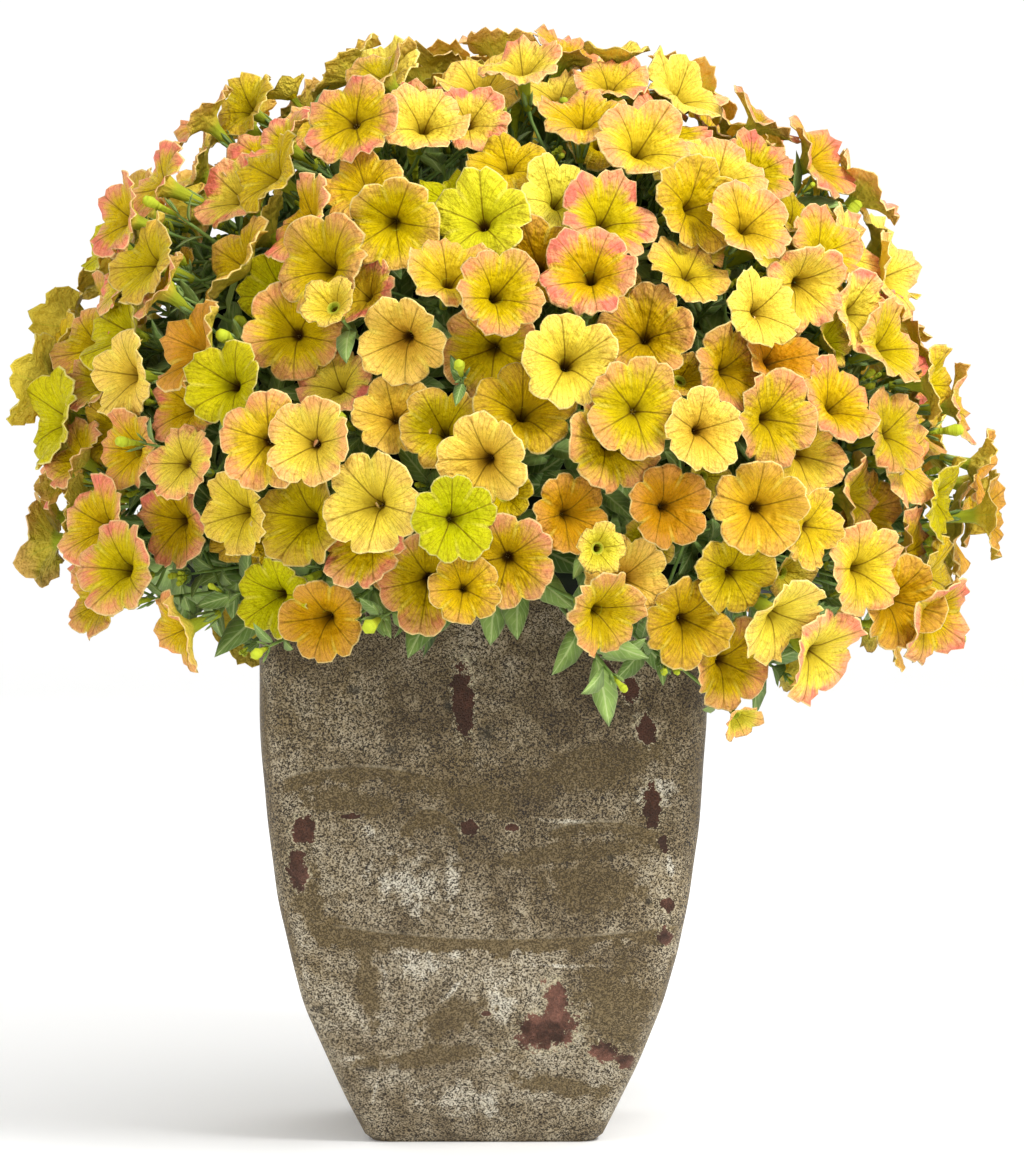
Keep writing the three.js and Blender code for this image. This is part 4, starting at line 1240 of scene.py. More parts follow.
def join_and_finish(tree, parts, end):
    """All parts as one real mesh, with a material for each finish number."""
    joined = node(tree, "GeometryNodeJoinGeometry")
    for part in parts:
        tree.links.new(part, joined.inputs[0])
    geometry = node(tree, "GeometryNodeRealizeInstances", {0: joined.outputs[0]}).outputs[0]
    for number, finish in enumerate(FINISHES):
        only = maths("COMPARE", carried(tree, "finish", "INT"), number, 0.1)
        setting = {"Geometry": geometry, "Selection": only, "Material": finish}
        geometry = node(tree, "GeometryNodeSetMaterial", setting).outputs[0]
    tree.links.new(geometry, end[0])


def spray_tree():
    """The tree that makes one spray of blooms."""
    tree, start, end = new_tree("bloom_spray", [("Stalk sides", "NodeSocketInt", 7)])
    is_bloom = carried(tree, "is_copy", "BOOLEAN")
    is_stalk = carried(tree, "is_stalk", "BOOLEAN")
    heads = copies_on_points(tree, start["Geometry"], bloom_originals, is_bloom)
    stalks = round_stalks(tree, start["Geometry"], is_stalk, start["Stalk sides"])
    join_and_finish(tree, [heads, stalks], end)
    return tree


class Skeleton:
    """Points that carry copies, and chains that become stalks."""

    def __init__(self):
        self.points, self.edges, self.faces, self.rows = [], [], [], []

    def add_copy(self, point, turn, size, variant, tint):
        self.points.append(point)
        self.rows.append((tuple(turn), size, variant, tuple(tint), True, False, 0.0))

    def add_stalk(self, points, thicknesses):
        start = len(self.points)
        for point, thickness in zip(points, thicknesses):
            self.points.append(point)
            self.rows.append(((0, 0, 0), 0.0, 0, (0.5, 0.5, 0.5), False, True, thickness * MM))
        self.edges += [(start + i, start + i + 1) for i in range(len(points) - 1)]

    def add_faces(self, points, faces):
        start = len(self.points)
        self.points += points
        self.rows += [((0, 0, 0), 0.0, 0, (0.5, 0.5, 0.3), False, False, 0.0)] * len(points)
        self.faces += [tuple(start + i for i in face) for face in faces]

    def object(self, name):
        """The bare mesh, as an object in the scene."""
        made = bpy.data.meshes.new(name)
        made.from_pydata([tuple(np.asarray(p) * MM) for p in self.points], self.edges, self.faces)
        columns = list(zip(*self.rows))
        kinds = [
            ("turn", "FLOAT_VECTOR", "vector"),
            ("size", "FLOAT", "value"),
            ("variant", "INT", "value"),
            ("tint", "FLOAT_VECTOR", "vector"),
            ("is_copy", "BOOLEAN", "value"),
            ("is_stalk", "BOOLEAN", "value"),
            ("thickness", "FLOAT", "value"),
        ]
        for (title, kind, field), column in zip(kinds, columns):
            layer = made.attributes.new(title, kind, "POINT")
            numbers = {"BOOLEAN": bool, "INT": np.int32}.get(kind, np.float32)
            layer.data.foreach_set(field, np.array(column, numbers).ravel())
        return in_scene(name, made)


def grown(piece, tree, sizes, replaced):
    """Runs a tree on an object, keeps the result as a plain mesh and puts it in the frame."""
    modifier = piece.modifiers.new(tree.name, "NODES")
    modifier.node_group = tree
    sockets = {item.name: item.identifier for item in tree.interface.items_tree if item.in_out == "INPUT"}
    for title, value in sizes.items():
        modifier[sockets[title]] = value
    view = bpy.context.evaluated_depsgraph_get()
    evaluated = piece.evaluated_get(view)
    mesh = bpy.data.meshes.new_from_object(evaluated, preserve_all_data_layers=True, depsgraph=view)
    piece.modifiers.clear()
    piece.data = mesh
    if mesh.materials[0] is None:
        mesh.materials.pop(index=0)
    mesh.shade_smooth()
    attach(piece, "root")
    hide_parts(replaced)
    return len(mesh.polygons)


# %% Growing the bloom sprays
TUBE_FOOT = 1.2
PEDICEL_RADIUS = 1.1
STALK_RADIUS = 2.6


def curved(points, steps):
    """A smooth chain through control points, as one Bezier curve of any degree."""
    chain = []
    for step in range(steps + 1):
        level = [np.asarray(p, float) for p in points]
        share = step / steps
        while len(level) > 1:
            level = [a + (b - a) * share for a, b in zip(level, level[1:])]
        chain.append(level[0])
    return chain


def turn_of(axis, spin):
    """The rotation that points a copy's +Z along an axis, with a spin."""
    return Matrix(bloom_matrix(axis, spin).tolist()).to_euler()


def tint_of(draw, height):
    """How peachy, how lime or burnt, and how light one bloom is. The upper ones are peachier and paler, and
    brighter as painted light from above.
    """
    high = min(1, max(0, (height - 430) / 250))
    kind = draw() + 0.1 - 0.3 * high
    peachy, shift = 0.65 + 0.6 * draw(), 0.5 * (draw() - 0.4)
    if kind < 0.06:
        peachy = 1.7
    if kind > 0.54:
        peachy = 0.1 + 0.4 * draw()
    if kind > 0.8:
        peachy, shift = 0.05, 0.5 + 0.5 * draw()
    if kind > 0.9:
        peachy, shift = 0.3, -0.4 - 0.6 * draw()
    # Raising the third value with height brightens the upper blooms: painted light from above.
    return peachy, shift, min(1, draw() + 0.3 * high)


def spray_skeleton(number, draw_tint):
    """The points and stalks of one spray."""
    skeleton = Skeleton()
    knot, root = knots[number], stalk_roots[number]
    out = unit(knot - root)
    chain = curved([root - out * 4, root, knot], 4)
    skeleton.add_stalk(chain, [STALK_RADIUS * (1.1 - 0.07 * k) for k in range(5)])
    for i in np.flatnonzero(blooms["spray"] == number):
        axis, radius = blooms["axis"][i], blooms["radius"][i]
        turn = turn_of(axis, blooms["spin"][i])
        tint = tint_of(draw_tint, blooms["centre"][i][2])
        skeleton.add_copy(blooms["centre"][i], turn, radius * MM, blooms["variant"][i], tint)
        foot = blooms["centre"][i] - axis * radius * TUBE_FOOT
        chain = curved([foot, foot - axis * 14, (foot + knot) / 2 - axis * 6, knot - out * 6], 6)
        skeleton.add_stalk(chain, [PEDICEL_RADIUS * (1.5 if k == 0 else 1.0) for k in range(7)])
    return skeleton


tree = spray_tree()
draw_tint = seeded_draw(311)
faces_made = 0
for number in range(BLOOM_SPRAYS):
    piece = spray_skeleton(number, draw_tint).object(f"blooms_{number + 1:02d}")
    faces_made += grown(piece, tree, {"Stalk sides": 7}, f"bloom_spray_{number + 1:02d}")
print("faces of all sprays:", faces_made)

# %% [markdown]
# Under the blooms a petunia is a tangle of leafy stems. What is seen of it through the gaps is dark
# inside and lit leaves outside. So each leafy stem gets a share of a lumpy core in painted shade, a
# near-black green, closed as its own cell, then a dense layer of leaves scattered over the outside by
# the tree, and shoots that push out where the blooms leave room. The bare stem runs down through the soil.

# %% The cores, in painted shade
LEAFY_STEMS = 12
CROWN = np.array([6.0, 0.0, 388.0])
CELL_GAP = 0.6
INNER_SHARE = 0.55
CORE_SINK = 12
UNDERSIDE = 352
OVER_THE_RIM = 367
ROOM_OVER_POT = 150
LOWEST_CORE_ANGLE = math.radians(122)
stem_directions = np.array([lattice_direction(i, LEAFY_STEMS, SPRAY_ANGLE) for i in range(LEAFY_STEMS)])


def core_point(direction):
    """A point of the lumpy core's outside."""
    lump = noise.noise(Vector(direction) * 5.0) * 12 + noise.noise(Vector(direction) * 13.0) * 6
    point = mound_point(direction, CORE_RADIUS - CORE_SINK + lump)
    over_pot = max(abs(point[0]), abs(point[1])) < ROOM_OVER_POT
    point[2] = max(point[2], OVER_THE_RIM if over_pot else UNDERSIDE)
    return point


def core_cells():
    """For each leafy stem, the points and faces of its closed cell of the core."""
    ball = bmesh.new()
    bmesh.ops.create_icosphere(ball, subdivisions=5, radius=1.0)
    outside = {v.index: core_point(unit(np.array(v.co))) for v in ball.verts}
    cells = [{} for _ in range(LEAFY_STEMS)]
    owned = [[] for _ in range(LEAFY_STEMS)]
    for face in ball.faces:
        middle = unit(np.array(face.calc_center_median()))
        if middle[2] > math.cos(LOWEST_CORE_ANGLE):
            owned[int(np.argmax(stem_directions @ middle))].append([v.index for v in face.verts])
    for number, faces in enumerate(owned):
        used = sorted({i for face in faces for i in face})
        slot_of = {v: k for k, v in enumerate(used)}
        inner = len(used)
        heart = CROWN + stem_directions[number] * CORE_RADIUS * 0.7
        points = [outside[v] + unit(heart - outside[v]) * CELL_GAP for v in used]
        points += [CROWN + (outside[v] - CROWN) * INNER_SHARE for v in used]
        shell, borders = [], {}
        for face in faces:
            ring = [slot_of[v] for v in face]
            shell += [tuple(ring), tuple(inner + k for k in reversed(ring))]
            for a, b in zip(ring, ring[1:] + ring[:1]):
                borders[(a, b)] = (b, a) not in borders
                if (b, a) in borders:
                    borders[(b, a)] = False
        shell += [(b, a, inner + a, inner + b) for (a, b), open_edge in borders.items() if open_edge]
        cells[number] = (points, shell, inner)
    ball.free()
    return cells


cells = core_cells()
print("faces of the core cells:", [len(shell) for _, shell, _ in cells])

# %% [markdown]
# Where may a shoot push out? Directions of a finer lattice are tried in turn, each with a few tips from far
# out to deep, and a shoot stays where its own leaves cut through no bloom and no other shoot. So shoots,
# sprigs, buds and young flowers fill the dark gaps between the blooms, as they do on the real plant.

# %% Room for shoots
SHOOT_TRIES = 1600
SHOOT_SPACING = 0.085
LOWEST_SHOOT_ANGLE = math.radians(108)
SHOOT_TIPS = [316, 306, 292, 278, 264]
NEAR_SHOOT = 75
rough_shoots = []
for original in shoot_originals.objects:
    corners = np.array([v.co for v in original.data.vertices]) / MM
    rough_shoots.append((corners, [tuple(f.vertices) for f in original.data.polygons]))


def shoot_shape(base, axis, spin, size, variant):
    """A search tree of the faces of one shoot where it stands."""
    points, faces = rough_shoots[variant]
    return BVHTree.FromPolygons((base + points @ bloom_matrix(axis, spin).T * size).tolist(), faces)


def place_shoots():
    """Base, axis, spin, size and variant of every shoot that has room."""
    draw = seeded_draw(5150)
    placed, shapes = [], []
    for i in range(SHOOT_TRIES):
        direction = lattice_direction(i, SHOOT_TRIES, LOWEST_SHOOT_ANGLE)
        side, rise = across_of(direction)
        axis = unit(direction + side * 0.3 * (draw() - 0.5) + rise * 0.3 * (draw() - 0.5))
        variant, size, spin = int(draw() * SHOOT_VARIANTS), 0.8 + 0.35 * draw(), 2 * math.pi * draw()
        if any(direction @ unit(other[5]) > math.cos(SHOOT_SPACING) for other in placed):
            continue
        for tip in SHOOT_TIPS:
            base = mound_point(direction, tip - SHOOT_LENGTH * size)
            shape = shoot_shape(base, axis, spin, size, variant)
            middle = base + axis * SHOOT_LENGTH * size / 2
            near = np.flatnonzero(np.linalg.norm(blooms["centre"] - middle, axis=1) < NEAR_SHOOT)
            if any(shape.overlap(bloom_shapes[j]) for j in near):
                continue
            if any(shape.overlap(other) for other in shapes[-60:]):
                continue
            placed.append((base, axis, spin, size, variant, direction))
            shapes.append(shape)
            break
    return placed


shoots = place_shoots()
print("shoots, sprigs, buds and young flowers:", len(shoots))

# %% Geometry Nodes for the leafy growth
SOIL_TOP = 338
STEM_SPREAD = 92
STEM_CIRCLE = 116
STEM_RADIUS = 4.2
LEAF_LENGTH = 0.044
LEAF_SPACING = 0.011
LOWEST_LEAF = 356


def growth_tree():
    """The tree that makes one leafy stem: its core, stalks, scattered leaves and shoots."""
    sizes = [
        ("Leaf length", "NodeSocketFloat", LEAF_LENGTH),
        ("Leaf spacing", "NodeSocketFloat", LEAF_SPACING),
        ("Leaf seed", "NodeSocketInt", 1),
        ("Stalk sides", "NodeSocketInt", 8),
    ]
    tree, start, end = new_tree("leafy_growth", sizes)
    bare = start["Geometry"]
    stalks = round_stalks(tree, bare, carried(tree, "is_stalk", "BOOLEAN"), start["Stalk sides"])
    shoots_made = copies_on_points(tree, bare, shoot_originals, carried(tree, "is_copy", "BOOLEAN"))
    loose = add(carried(tree, "is_stalk", "BOOLEAN"), carried(tree, "is_copy", "BOOLEAN"))
    bare_core = {"Geometry": bare, "Selection": loose}
    core = node(tree, "GeometryNodeDeleteGeometry", bare_core, domain="POINT").outputs[0]
    stored = {"Geometry": core, "Name": "finish", "Value": FINISH_CORE}
    core = node(tree, "GeometryNodeStoreNamedAttribute", stored, data_type="INT", domain="FACE").outputs[0]
    scatter = node(tree, "GeometryNodeDistributePointsOnFaces", {
        "Mesh": core,
        "Selection": carried(tree, "leafy", "FLOAT"),
        "Distance Min": start["Leaf spacing"],
        "Density Max": 9000.0,
        "Seed": start["Leaf seed"],
    }, distribute_method="POISSON")
    points = scatter.outputs["Points"]

    def chance(low, high, kind="FLOAT", offset=0):
        seed = add(start["Leaf seed"], float(offset))
        made = node(tree, "FunctionNodeRandomValue", data_type=kind)
        usable = [s for s in made.inputs if s.enabled]
        for socket, value in zip(usable, (low, high)):
            socket.default_value = value
        tree.links.new(seed, usable[-1])
        return next(s for s in made.outputs if s.enabled)

    tint = {"Geometry": points, "Name": "tint", "Value": chance((0, 0, 0), (1, 1, 1), "FLOAT_VECTOR", 11)}
    tinted = node(tree, "GeometryNodeStoreNamedAttribute", tint, data_type="FLOAT_VECTOR", domain="POINT")
    # Each leaf first turns round the surface's normal, and then lifts its tip off the surface
    spin = vector_of(z=chance(0.0, 2 * math.pi, "FLOAT", 23))
    lift = vector_of(chance(-0.35, 0.35, "FLOAT", 37), chance(-0.75, -0.1, "FLOAT", 41))
    turned = scatter.outputs["Rotation"]
    for step in (spin, lift):
        once_more = {0: turned, 1: step}
        turned = node(tree, "FunctionNodeRotateRotation", once_more, rotation_space="LOCAL").outputs[0]
    picked = {"Collection": leaf_originals, "Separate Children": True}
    info = node(tree, "GeometryNodeCollectionInfo", picked)
    size = times(start["Leaf length"], chance(0.72, 1.22, "FLOAT", 53))
    leaves = node(tree, "GeometryNodeInstanceOnPoints", {
        "Points": tinted.outputs[0],
        "Instance": info.outputs[0],
        "Pick Instance": True,
        "Instance Index": chance(0, LEAF_VARIANTS - 1, "INT", 67),
        "Rotation": turned,
        "Scale": size,
    }).outputs[0]
    join_and_finish(tree, [core, leaves, stalks, shoots_made], end)
    return tree


# %% Growing the leafy stems
ROOTS_TRIED = 40


def root_of_shoot(base, outside):
    """The near point of the core from where a straight stalk reaches a shoot and cuts no bloom."""
    near = np.flatnonzero(np.linalg.norm(blooms["centre"] - base, axis=1) < NEAR_SHOOT)
    nearest = outside[np.argsort(np.linalg.norm(outside - base, axis=1))[:ROOTS_TRIED]]
    if np.linalg.norm(base - CROWN) < np.linalg.norm(nearest[0] - CROWN):
        return None
    for point in nearest:
        way = base - point
        if all(bloom_shapes[j].ray_cast(point, way, np.linalg.norm(way))[0] is None for j in near):
            return point - unit(way) * 3
    return nearest[0]


def leafy_skeleton(number, draw):
    """The core cell, the stem, its branches and its shoots."""
    skeleton = Skeleton()
    cell_points, cell_faces, inner = cells[number]
    skeleton.add_faces(cell_points, cell_faces)
    direction = stem_directions[number]
    flat = unit(direction[:2])
    foot = np.append(flat * math.acos(direction[2]) / SPRAY_ANGLE * STEM_SPREAD, SOIL_TOP - 30)
    heart = CROWN + direction * STEM_CIRCLE
    heart[2] = max(heart[2], OVER_THE_RIM + 20)
    stem = curved([foot, foot + [0, 0, 40], heart], 6)
    skeleton.add_stalk(stem, [STEM_RADIUS * (1 - 0.04 * k) for k in range(7)])
    for base, axis, spin, size, variant, shoot in shoots:
        if int(np.argmax(stem_directions @ shoot)) == number:
            tint = (0.8 * draw(), 0.9 * draw() - 0.2, 0.35 + 0.65 * draw())
            skeleton.add_copy(base, turn_of(axis, spin), size, variant, tint)
            root = root_of_shoot(base, np.array(cell_points[:inner]))
            if root is not None:
                skeleton.add_stalk([root, base + axis * 3], [TWIG_RADIUS * 1.1] * 2)
    return skeleton, inner


def mark_leafy(piece, points, inner):
    """Marks the points of the core's outside and not too low, where leaves may grow."""
    layer = piece.data.attributes.new("leafy", "FLOAT", "POINT")
    marks = np.zeros(len(piece.data.vertices), np.float32)
    marks[:inner] = np.array(points)[:inner, 2] > LOWEST_LEAF
    layer.data.foreach_set("value", marks)


tree = growth_tree()
sizes = {"Leaf length": LEAF_LENGTH, "Leaf spacing": LEAF_SPACING, "Stalk sides": 8}
draw_shoot = seeded_draw(5150)
faces_made = 0
for number in range(LEAFY_STEMS):
    skeleton, inner = leafy_skeleton(number, draw_shoot)
    piece = skeleton.object(f"leafy_growth_{number + 1:02d}")
    mark_leafy(piece, skeleton.points, inner)
    sizes["Leaf seed"] = 100 + number
    faces_made += grown(piece, tree, sizes, f"leafy_stem_{number + 1:02d}")
print("faces of all leafy growth:", faces_made)

# %% [markdown]
# The pot is one fired body: square with rounded corners, with sides that curve in to a small foot and a
# plain rounded rim. Its outline is a table of widths by height, taken from the photograph, and rings of
# a rounded square are lofted through it. The widths are smoothed between the table's points, and a
# slight unevenness keeps it hand made. The four drain holes are cut with a Boolean modifier.

# %% The pot
POT_HEIGHT = 360
POT_WIDTH = 280
POT_WALL = 13
POT_FLOOR = 16
POT_CORNER = 24
RIM_ROUNDING = 4
DRAIN_HOLE_RADIUS = 7
DRAIN_HOLE_OFFSET = 36
# Share of the height, share of the width
POT_PROFILE = [
    (0.0, 0.51),
    (0.012, 0.545),
    (0.07, 0.617),
    (0.14, 0.695),
    (0.255, 0.812),
    (0.345, 0.871),
    (0.433, 0.918),
    (0.586, 0.971),
    (0.75, 1.0),
    (0.989, 1.0),
]
CORNER_STEPS = 9
SIDE_STEPS = 16
POT_CORNERS = [(1, 1), (-1, 1), (-1, -1), (1, -1)]


def pot_half_width(height):
    """The pot's half width at a height, with the table's corners smoothed out."""
    levels, widths = zip(*POT_PROFILE)
    reach = 0.5 if height < 12 else 9.0
    samples = height + np.linspace(-1, 1, 9) * reach
    return float(np.interp(samples / POT_HEIGHT, levels, widths).mean()) * POT_WIDTH / 2


def rounded_square(half, corner, height, wander=0.0):
    """A ring of a square with rounded corners, with even steps along its sides."""
    ring = []
    middles = np.array(POT_CORNERS) * (half - corner)
    for k, middle in enumerate(middles):
        for step in range(CORNER_STEPS):
            turn = (k + step / (CORNER_STEPS - 1)) * math.pi / 2
            ring.append(middle + corner * np.array([math.cos(turn), math.sin(turn)]))
        side = middles[(k + 1) % 4] - middle
        start = ring[-1]
        for step in range(SIDE_STEPS):
            ring.append(start + side * (step + 1) / (SIDE_STEPS + 1))
    points = []
    for x, y in ring:
        uneven = 1 - wander * abs(noise.noise(Vector((x, y, height)) * 0.018)) / half
        points.append((x * uneven * MM, y * uneven * MM, height * MM))
    return points


def pot_rings():
    """Rings up the outside, over the rim, down the inside and in to the middle of the floor."""
    rings = []
    for height in [0, 0.8, 2, 4.3, 8, *np.linspace(13, POT_HEIGHT - RIM_ROUNDING - 1, 78)]:
        level = height / POT_HEIGHT
        rings.append(rounded_square(pot_half_width(height), POT_CORNER * (0.55 + 0.45 * level), height, 1.1))
    middle = POT_WALL - RIM_ROUNDING
    for turn in np.linspace(0, math.pi / 2, 6)[1:]:
        out = POT_WIDTH / 2 - RIM_ROUNDING * (1 - math.cos(turn))
        height = POT_HEIGHT - RIM_ROUNDING * (1 - math.sin(turn))
        rings.append(rounded_square(out, POT_CORNER - RIM_ROUNDING * (1 - math.cos(turn)), height))
    inner_corner = POT_CORNER - POT_WALL + 2
    for turn in np.linspace(0, math.pi / 2, 4):
        out = POT_WIDTH / 2 - middle - RIM_ROUNDING * math.sin(turn)
        height = POT_HEIGHT - RIM_ROUNDING * (1 - math.cos(turn))
        rings.append(rounded_square(out, inner_corner + RIM_ROUNDING * (1 - math.sin(turn)), height))
    for height in np.linspace(POT_HEIGHT - 12, POT_FLOOR, 24):
        rings.append(rounded_square(pot_half_width(height) - POT_WALL, inner_corner, height))
    return rings


def closed_loft(name, rings):
    """A mesh through rings of points, with the first and the last ring filled."""
    points = [p for ring in rings for p in ring]
    count = len(rings[0])
    faces = loft_faces(len(rings), count)
    faces += [tuple(reversed(range(count))), tuple(range(len(points) - count, len(points)))]
    made = bpy.data.meshes.new(name)
    made.from_pydata(points, [], faces)
    faces_outwards(made)
    return made


def drained(mesh):
    """The pot with its four drain holes cut through its floor."""
    pot_body = in_scene("glazed_pot", mesh)
    cutters = bmesh.new()
    radius = DRAIN_HOLE_RADIUS * MM
    size = {"radius1": radius, "radius2": radius, "depth": POT_FLOOR * 3 * MM}
    for x, y in POT_CORNERS:
        place = Matrix.Translation(Vector((x * DRAIN_HOLE_OFFSET, y * DRAIN_HOLE_OFFSET, 0)) * MM)
        bmesh.ops.create_cone(cutters, cap_ends=True, segments=28, matrix=place, **size)
    cutter_mesh = bpy.data.meshes.new("drain_cutters")
    cutters.to_mesh(cutter_mesh)
    cutters.free()
    cutter = in_scene("drain_cutters", cutter_mesh)
    cut = pot_body.modifiers.new("drain", "BOOLEAN")
    cut.operation = "DIFFERENCE"
    cut.solver = "EXACT"
    cut.object = cutter
    view = bpy.context.evaluated_depsgraph_get()
    result = bpy.data.meshes.new_from_object(pot_body.evaluated_get(view))
    pot_body.modifiers.clear()
    pot_body.data = result
    bpy.data.objects.remove(cutter)
    return pot_body


pot = drained(closed_loft("glazed_pot", pot_rings()))
pot.data.shade_smooth()
pot.data.set_sharp_from_angle(angle=math.radians(40))
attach(pot, "root")
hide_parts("pot")
print("pot faces:", len(pot.data.polygons))

# %% [markdown]
# The glaze is an aged olive brown. Pale grains and dark pits cover it, a whitish crust lies in patches,
# smooth olive strokes lie under bowed brush lines, and chips bare the darker clay. It is built in layers
# over Object coordinates. One group draws a ragged oval at a named place and another a brushed line, and
# the material lays one for each mark that the front shows. Noise marks the other three sides.

# %% Finish of the glazed pot
FRONT_PLANE_X = 483.5
FOOT_LINE = 1139
PIXEL = 0.63 * MM


def front_of(parts):
    """1 on the side that faces the front, and 0 past its two corners."""
    ahead = minus(times(parts[1], -1.0), maths("ABSOLUTE", parts[0]))
    return soft_step(-0.006, 0.004, ahead)


def glaze_mark(name, sizes, results):
    """A group that draws a mark from a place and some sizes, with its inside sockets."""
    group = bpy.data.node_groups.new(name, "ShaderNodeTree")
    group.interface.new_socket("Place", in_out="INPUT", socket_type="NodeSocketVector")
    for way, titles in (("INPUT", sizes), ("OUTPUT", results)):
        for title in titles:
            group.interface.new_socket(title, in_out=way, socket_type="NodeSocketFloat")
    return group, group.nodes.new("NodeGroupInput").outputs, group.nodes.new("NodeGroupOutput").inputs


def ragged_patch():
    """A group: how far a point is inside a ragged, turned oval at the front, and the edge round it."""
    sizes = ["Ragged", "Centre X", "Centre Z", "Half width", "Half height", "Turn", "Soft"]
    group, start, end = glaze_mark("ragged_patch", sizes, ["Patch", "Rim"])
    parts = split(start["Place"])
    east = minus(parts[0], start["Centre X"])
    above = minus(parts[2], start["Centre Z"])
    cosine = maths("COSINE", start["Turn"])
    sine = maths("SINE", start["Turn"])
    x = add(times(east, cosine), times(above, sine))
    z = minus(times(above, cosine), times(east, sine))
    x = maths("DIVIDE", x, start["Half width"])
    z = maths("DIVIDE", z, start["Half height"])
    away = maths("SQRT", add(times(x, x), times(z, z)))
    away = add(away, times_add(start["Ragged"], 2.8, -1.4))
    front = front_of(parts)
    inside = maths("DIVIDE", minus(1.0, away), start["Soft"], clamp=True)
    group.links.new(times(inside, front), end["Patch"])
    rim = times(soft_step(1.3, 1.0, away), soft_step(0.92, 0.98, away))
    group.links.new(times(rim, front), end["Rim"])
    return group


def brush_mark():
    """A group: a bowed pale line at the front, and the smooth stroke of glaze under it."""
    sizes = ["Ragged", "Centre X", "Centre Z", "Half width", "Bend", "Breadth"]
    group, start, end = glaze_mark("brush_mark", sizes, ["Line", "Stroke"])
    parts = split(start["Place"])
    along = maths("DIVIDE", minus(parts[0], start["Centre X"]), start["Half width"])
    bow = times(times(along, along), start["Bend"])
    above = minus(minus(parts[2], start["Centre Z"]), bow)
    uneven = times_add(start["Ragged"], 2.0, -1.0)
    reach = add(maths("ABSOLUTE", along), times(uneven, 0.5))
    present = times(soft_step(1.0, 0.85, reach), front_of(parts))
    line = soft_step(1.5 * MM, 0.3 * MM, maths("ABSOLUTE", above))
    group.links.new(times(line, present), end["Line"])
    under = maths("DIVIDE", times(above, -1.0), start["Breadth"])
    under = add(under, times(uneven, 1.8))
    stroke = times(soft_step(0.0, -0.001, above), soft_step(1.0, 0.8, under))
    group.links.new(times(stroke, present), end["Stroke"])
    return group


# Marks on the front in the photograph's pixels: middle x and y, half width and height, turn in degrees
CHIPS = [
    (556, 985, 12, 24, 12),
    (546, 1018, 30, 20, 8),
    (604, 1040, 14, 12, 0),
    (628, 1052, 16, 8, -20),
    (650, 789, 10, 22, 4),
    (661, 826, 5, 9, 10),
    (667, 888, 7, 7, 0),
    (664, 921, 8, 10, 20),
    (486, 1000, 7, 3, 0),
    (306, 812, 12, 15, 0),
    (300, 852, 10, 20, 8),
    (464, 684, 11, 36, 3),
    (603, 662, 10, 22, 0),
    (629, 672, 8, 14, 0),
    (644, 712, 9, 16, 12),
    (471, 810, 9, 7, 0),
    (512, 809, 7, 4, 0),
    (352, 798, 12, 3, 6),
]
STAINS = [
    (486, 718, 15, 13, 0),
    (448, 688, 6, 7, 0),
    (358, 674, 11, 6, 0),
    (394, 732, 10, 7, 0),
    (610, 840, 4, 4, 0),
    (648, 884, 4, 6, 0),
    (521, 1003, 7, 4, 0),
    (321, 995, 4, 5, 0),
    (370, 1060, 8, 5, 0),
]
CRUSTS = [
    (410, 866, 60, 44, -25),
    (370, 812, 14, 9, -35),
    (452, 870, 16, 46, 0),
    (654, 770, 30, 26, 25),
    (668, 850, 7, 44, 8),
    (420, 945, 60, 32, 0),
    (456, 972, 40, 5, 47),
    (502, 985, 32, 40, 0),
    (560, 950, 50, 5, -4),
    (352, 1048, 32, 5, 8),
    (376, 1076, 4, 28, -14),
    (300, 960, 26, 60, 12),
    (596, 950, 46, 3, 0),
    (590, 806, 60, 5, -6),
    (470, 1092, 84, 34, 0),
]
SMOOTHS = [
    (590, 868, 62, 34, -8),
    (368, 970, 13, 52, 6),
    (452, 1005, 40, 18, 25),
    (616, 990, 40, 62, 12),
    (350, 920, 44, 13, -22),
    (480, 782, 44, 16, -10),
    (590, 752, 84, 26, 12),
    (352, 782, 60, 16, -6),
    (560, 838, 80, 12, 4),
    (425, 1046, 70, 13, 6),
    (310, 880, 18, 40, 10),
    (556, 1076, 52, 12, -8),
]
# Brushed lines: middle x and y, half width, drop of the ends, breadth of the smooth stroke under it
STROKES = [
    (362, 748, 84, -15, 20),
    (505, 922, 205, 20, 17),
    (600, 803, 60, -12, 14),
    (430, 790, 34, -30, 20),
]


def on_front(x, y):
    """A place in the photograph as the part's x and z."""
    return (x - FRONT_PLANE_X) * PIXEL, (FOOT_LINE - y) * PIXEL


def strongest(tree, group, common, rows):
    """The strongest of several marks of one kind, for each of its group's two outputs."""
    found = [0.0, 0.0]
    for row in rows:
        mark = node(tree, "ShaderNodeGroup", enumerate((*common, *row)), node_tree=group)
        found = [maths("MAXIMUM", result, before) for result, before in zip(mark.outputs, found)]
    return found


def patches(tree, group, place, ragged, marks, soft):
    """The strongest of several patches, and of their rims."""
    rows = []
    for x, y, half_width, half_height, turn in marks:
        size = (half_width * PIXEL, half_height * PIXEL)
        rows.append((*on_front(x, y), *size, math.radians(turn), soft))
    return strongest(tree, group, (place, ragged), rows)


def brushed(tree, group, place, ragged, marks):
    """The strongest of several brushed lines, and of the strokes under them."""
    rows = [(*on_front(x, y), *(size * PIXEL for size in sizes)) for x, y, *sizes in marks]
    return strongest(tree, group, (place, ragged), rows)


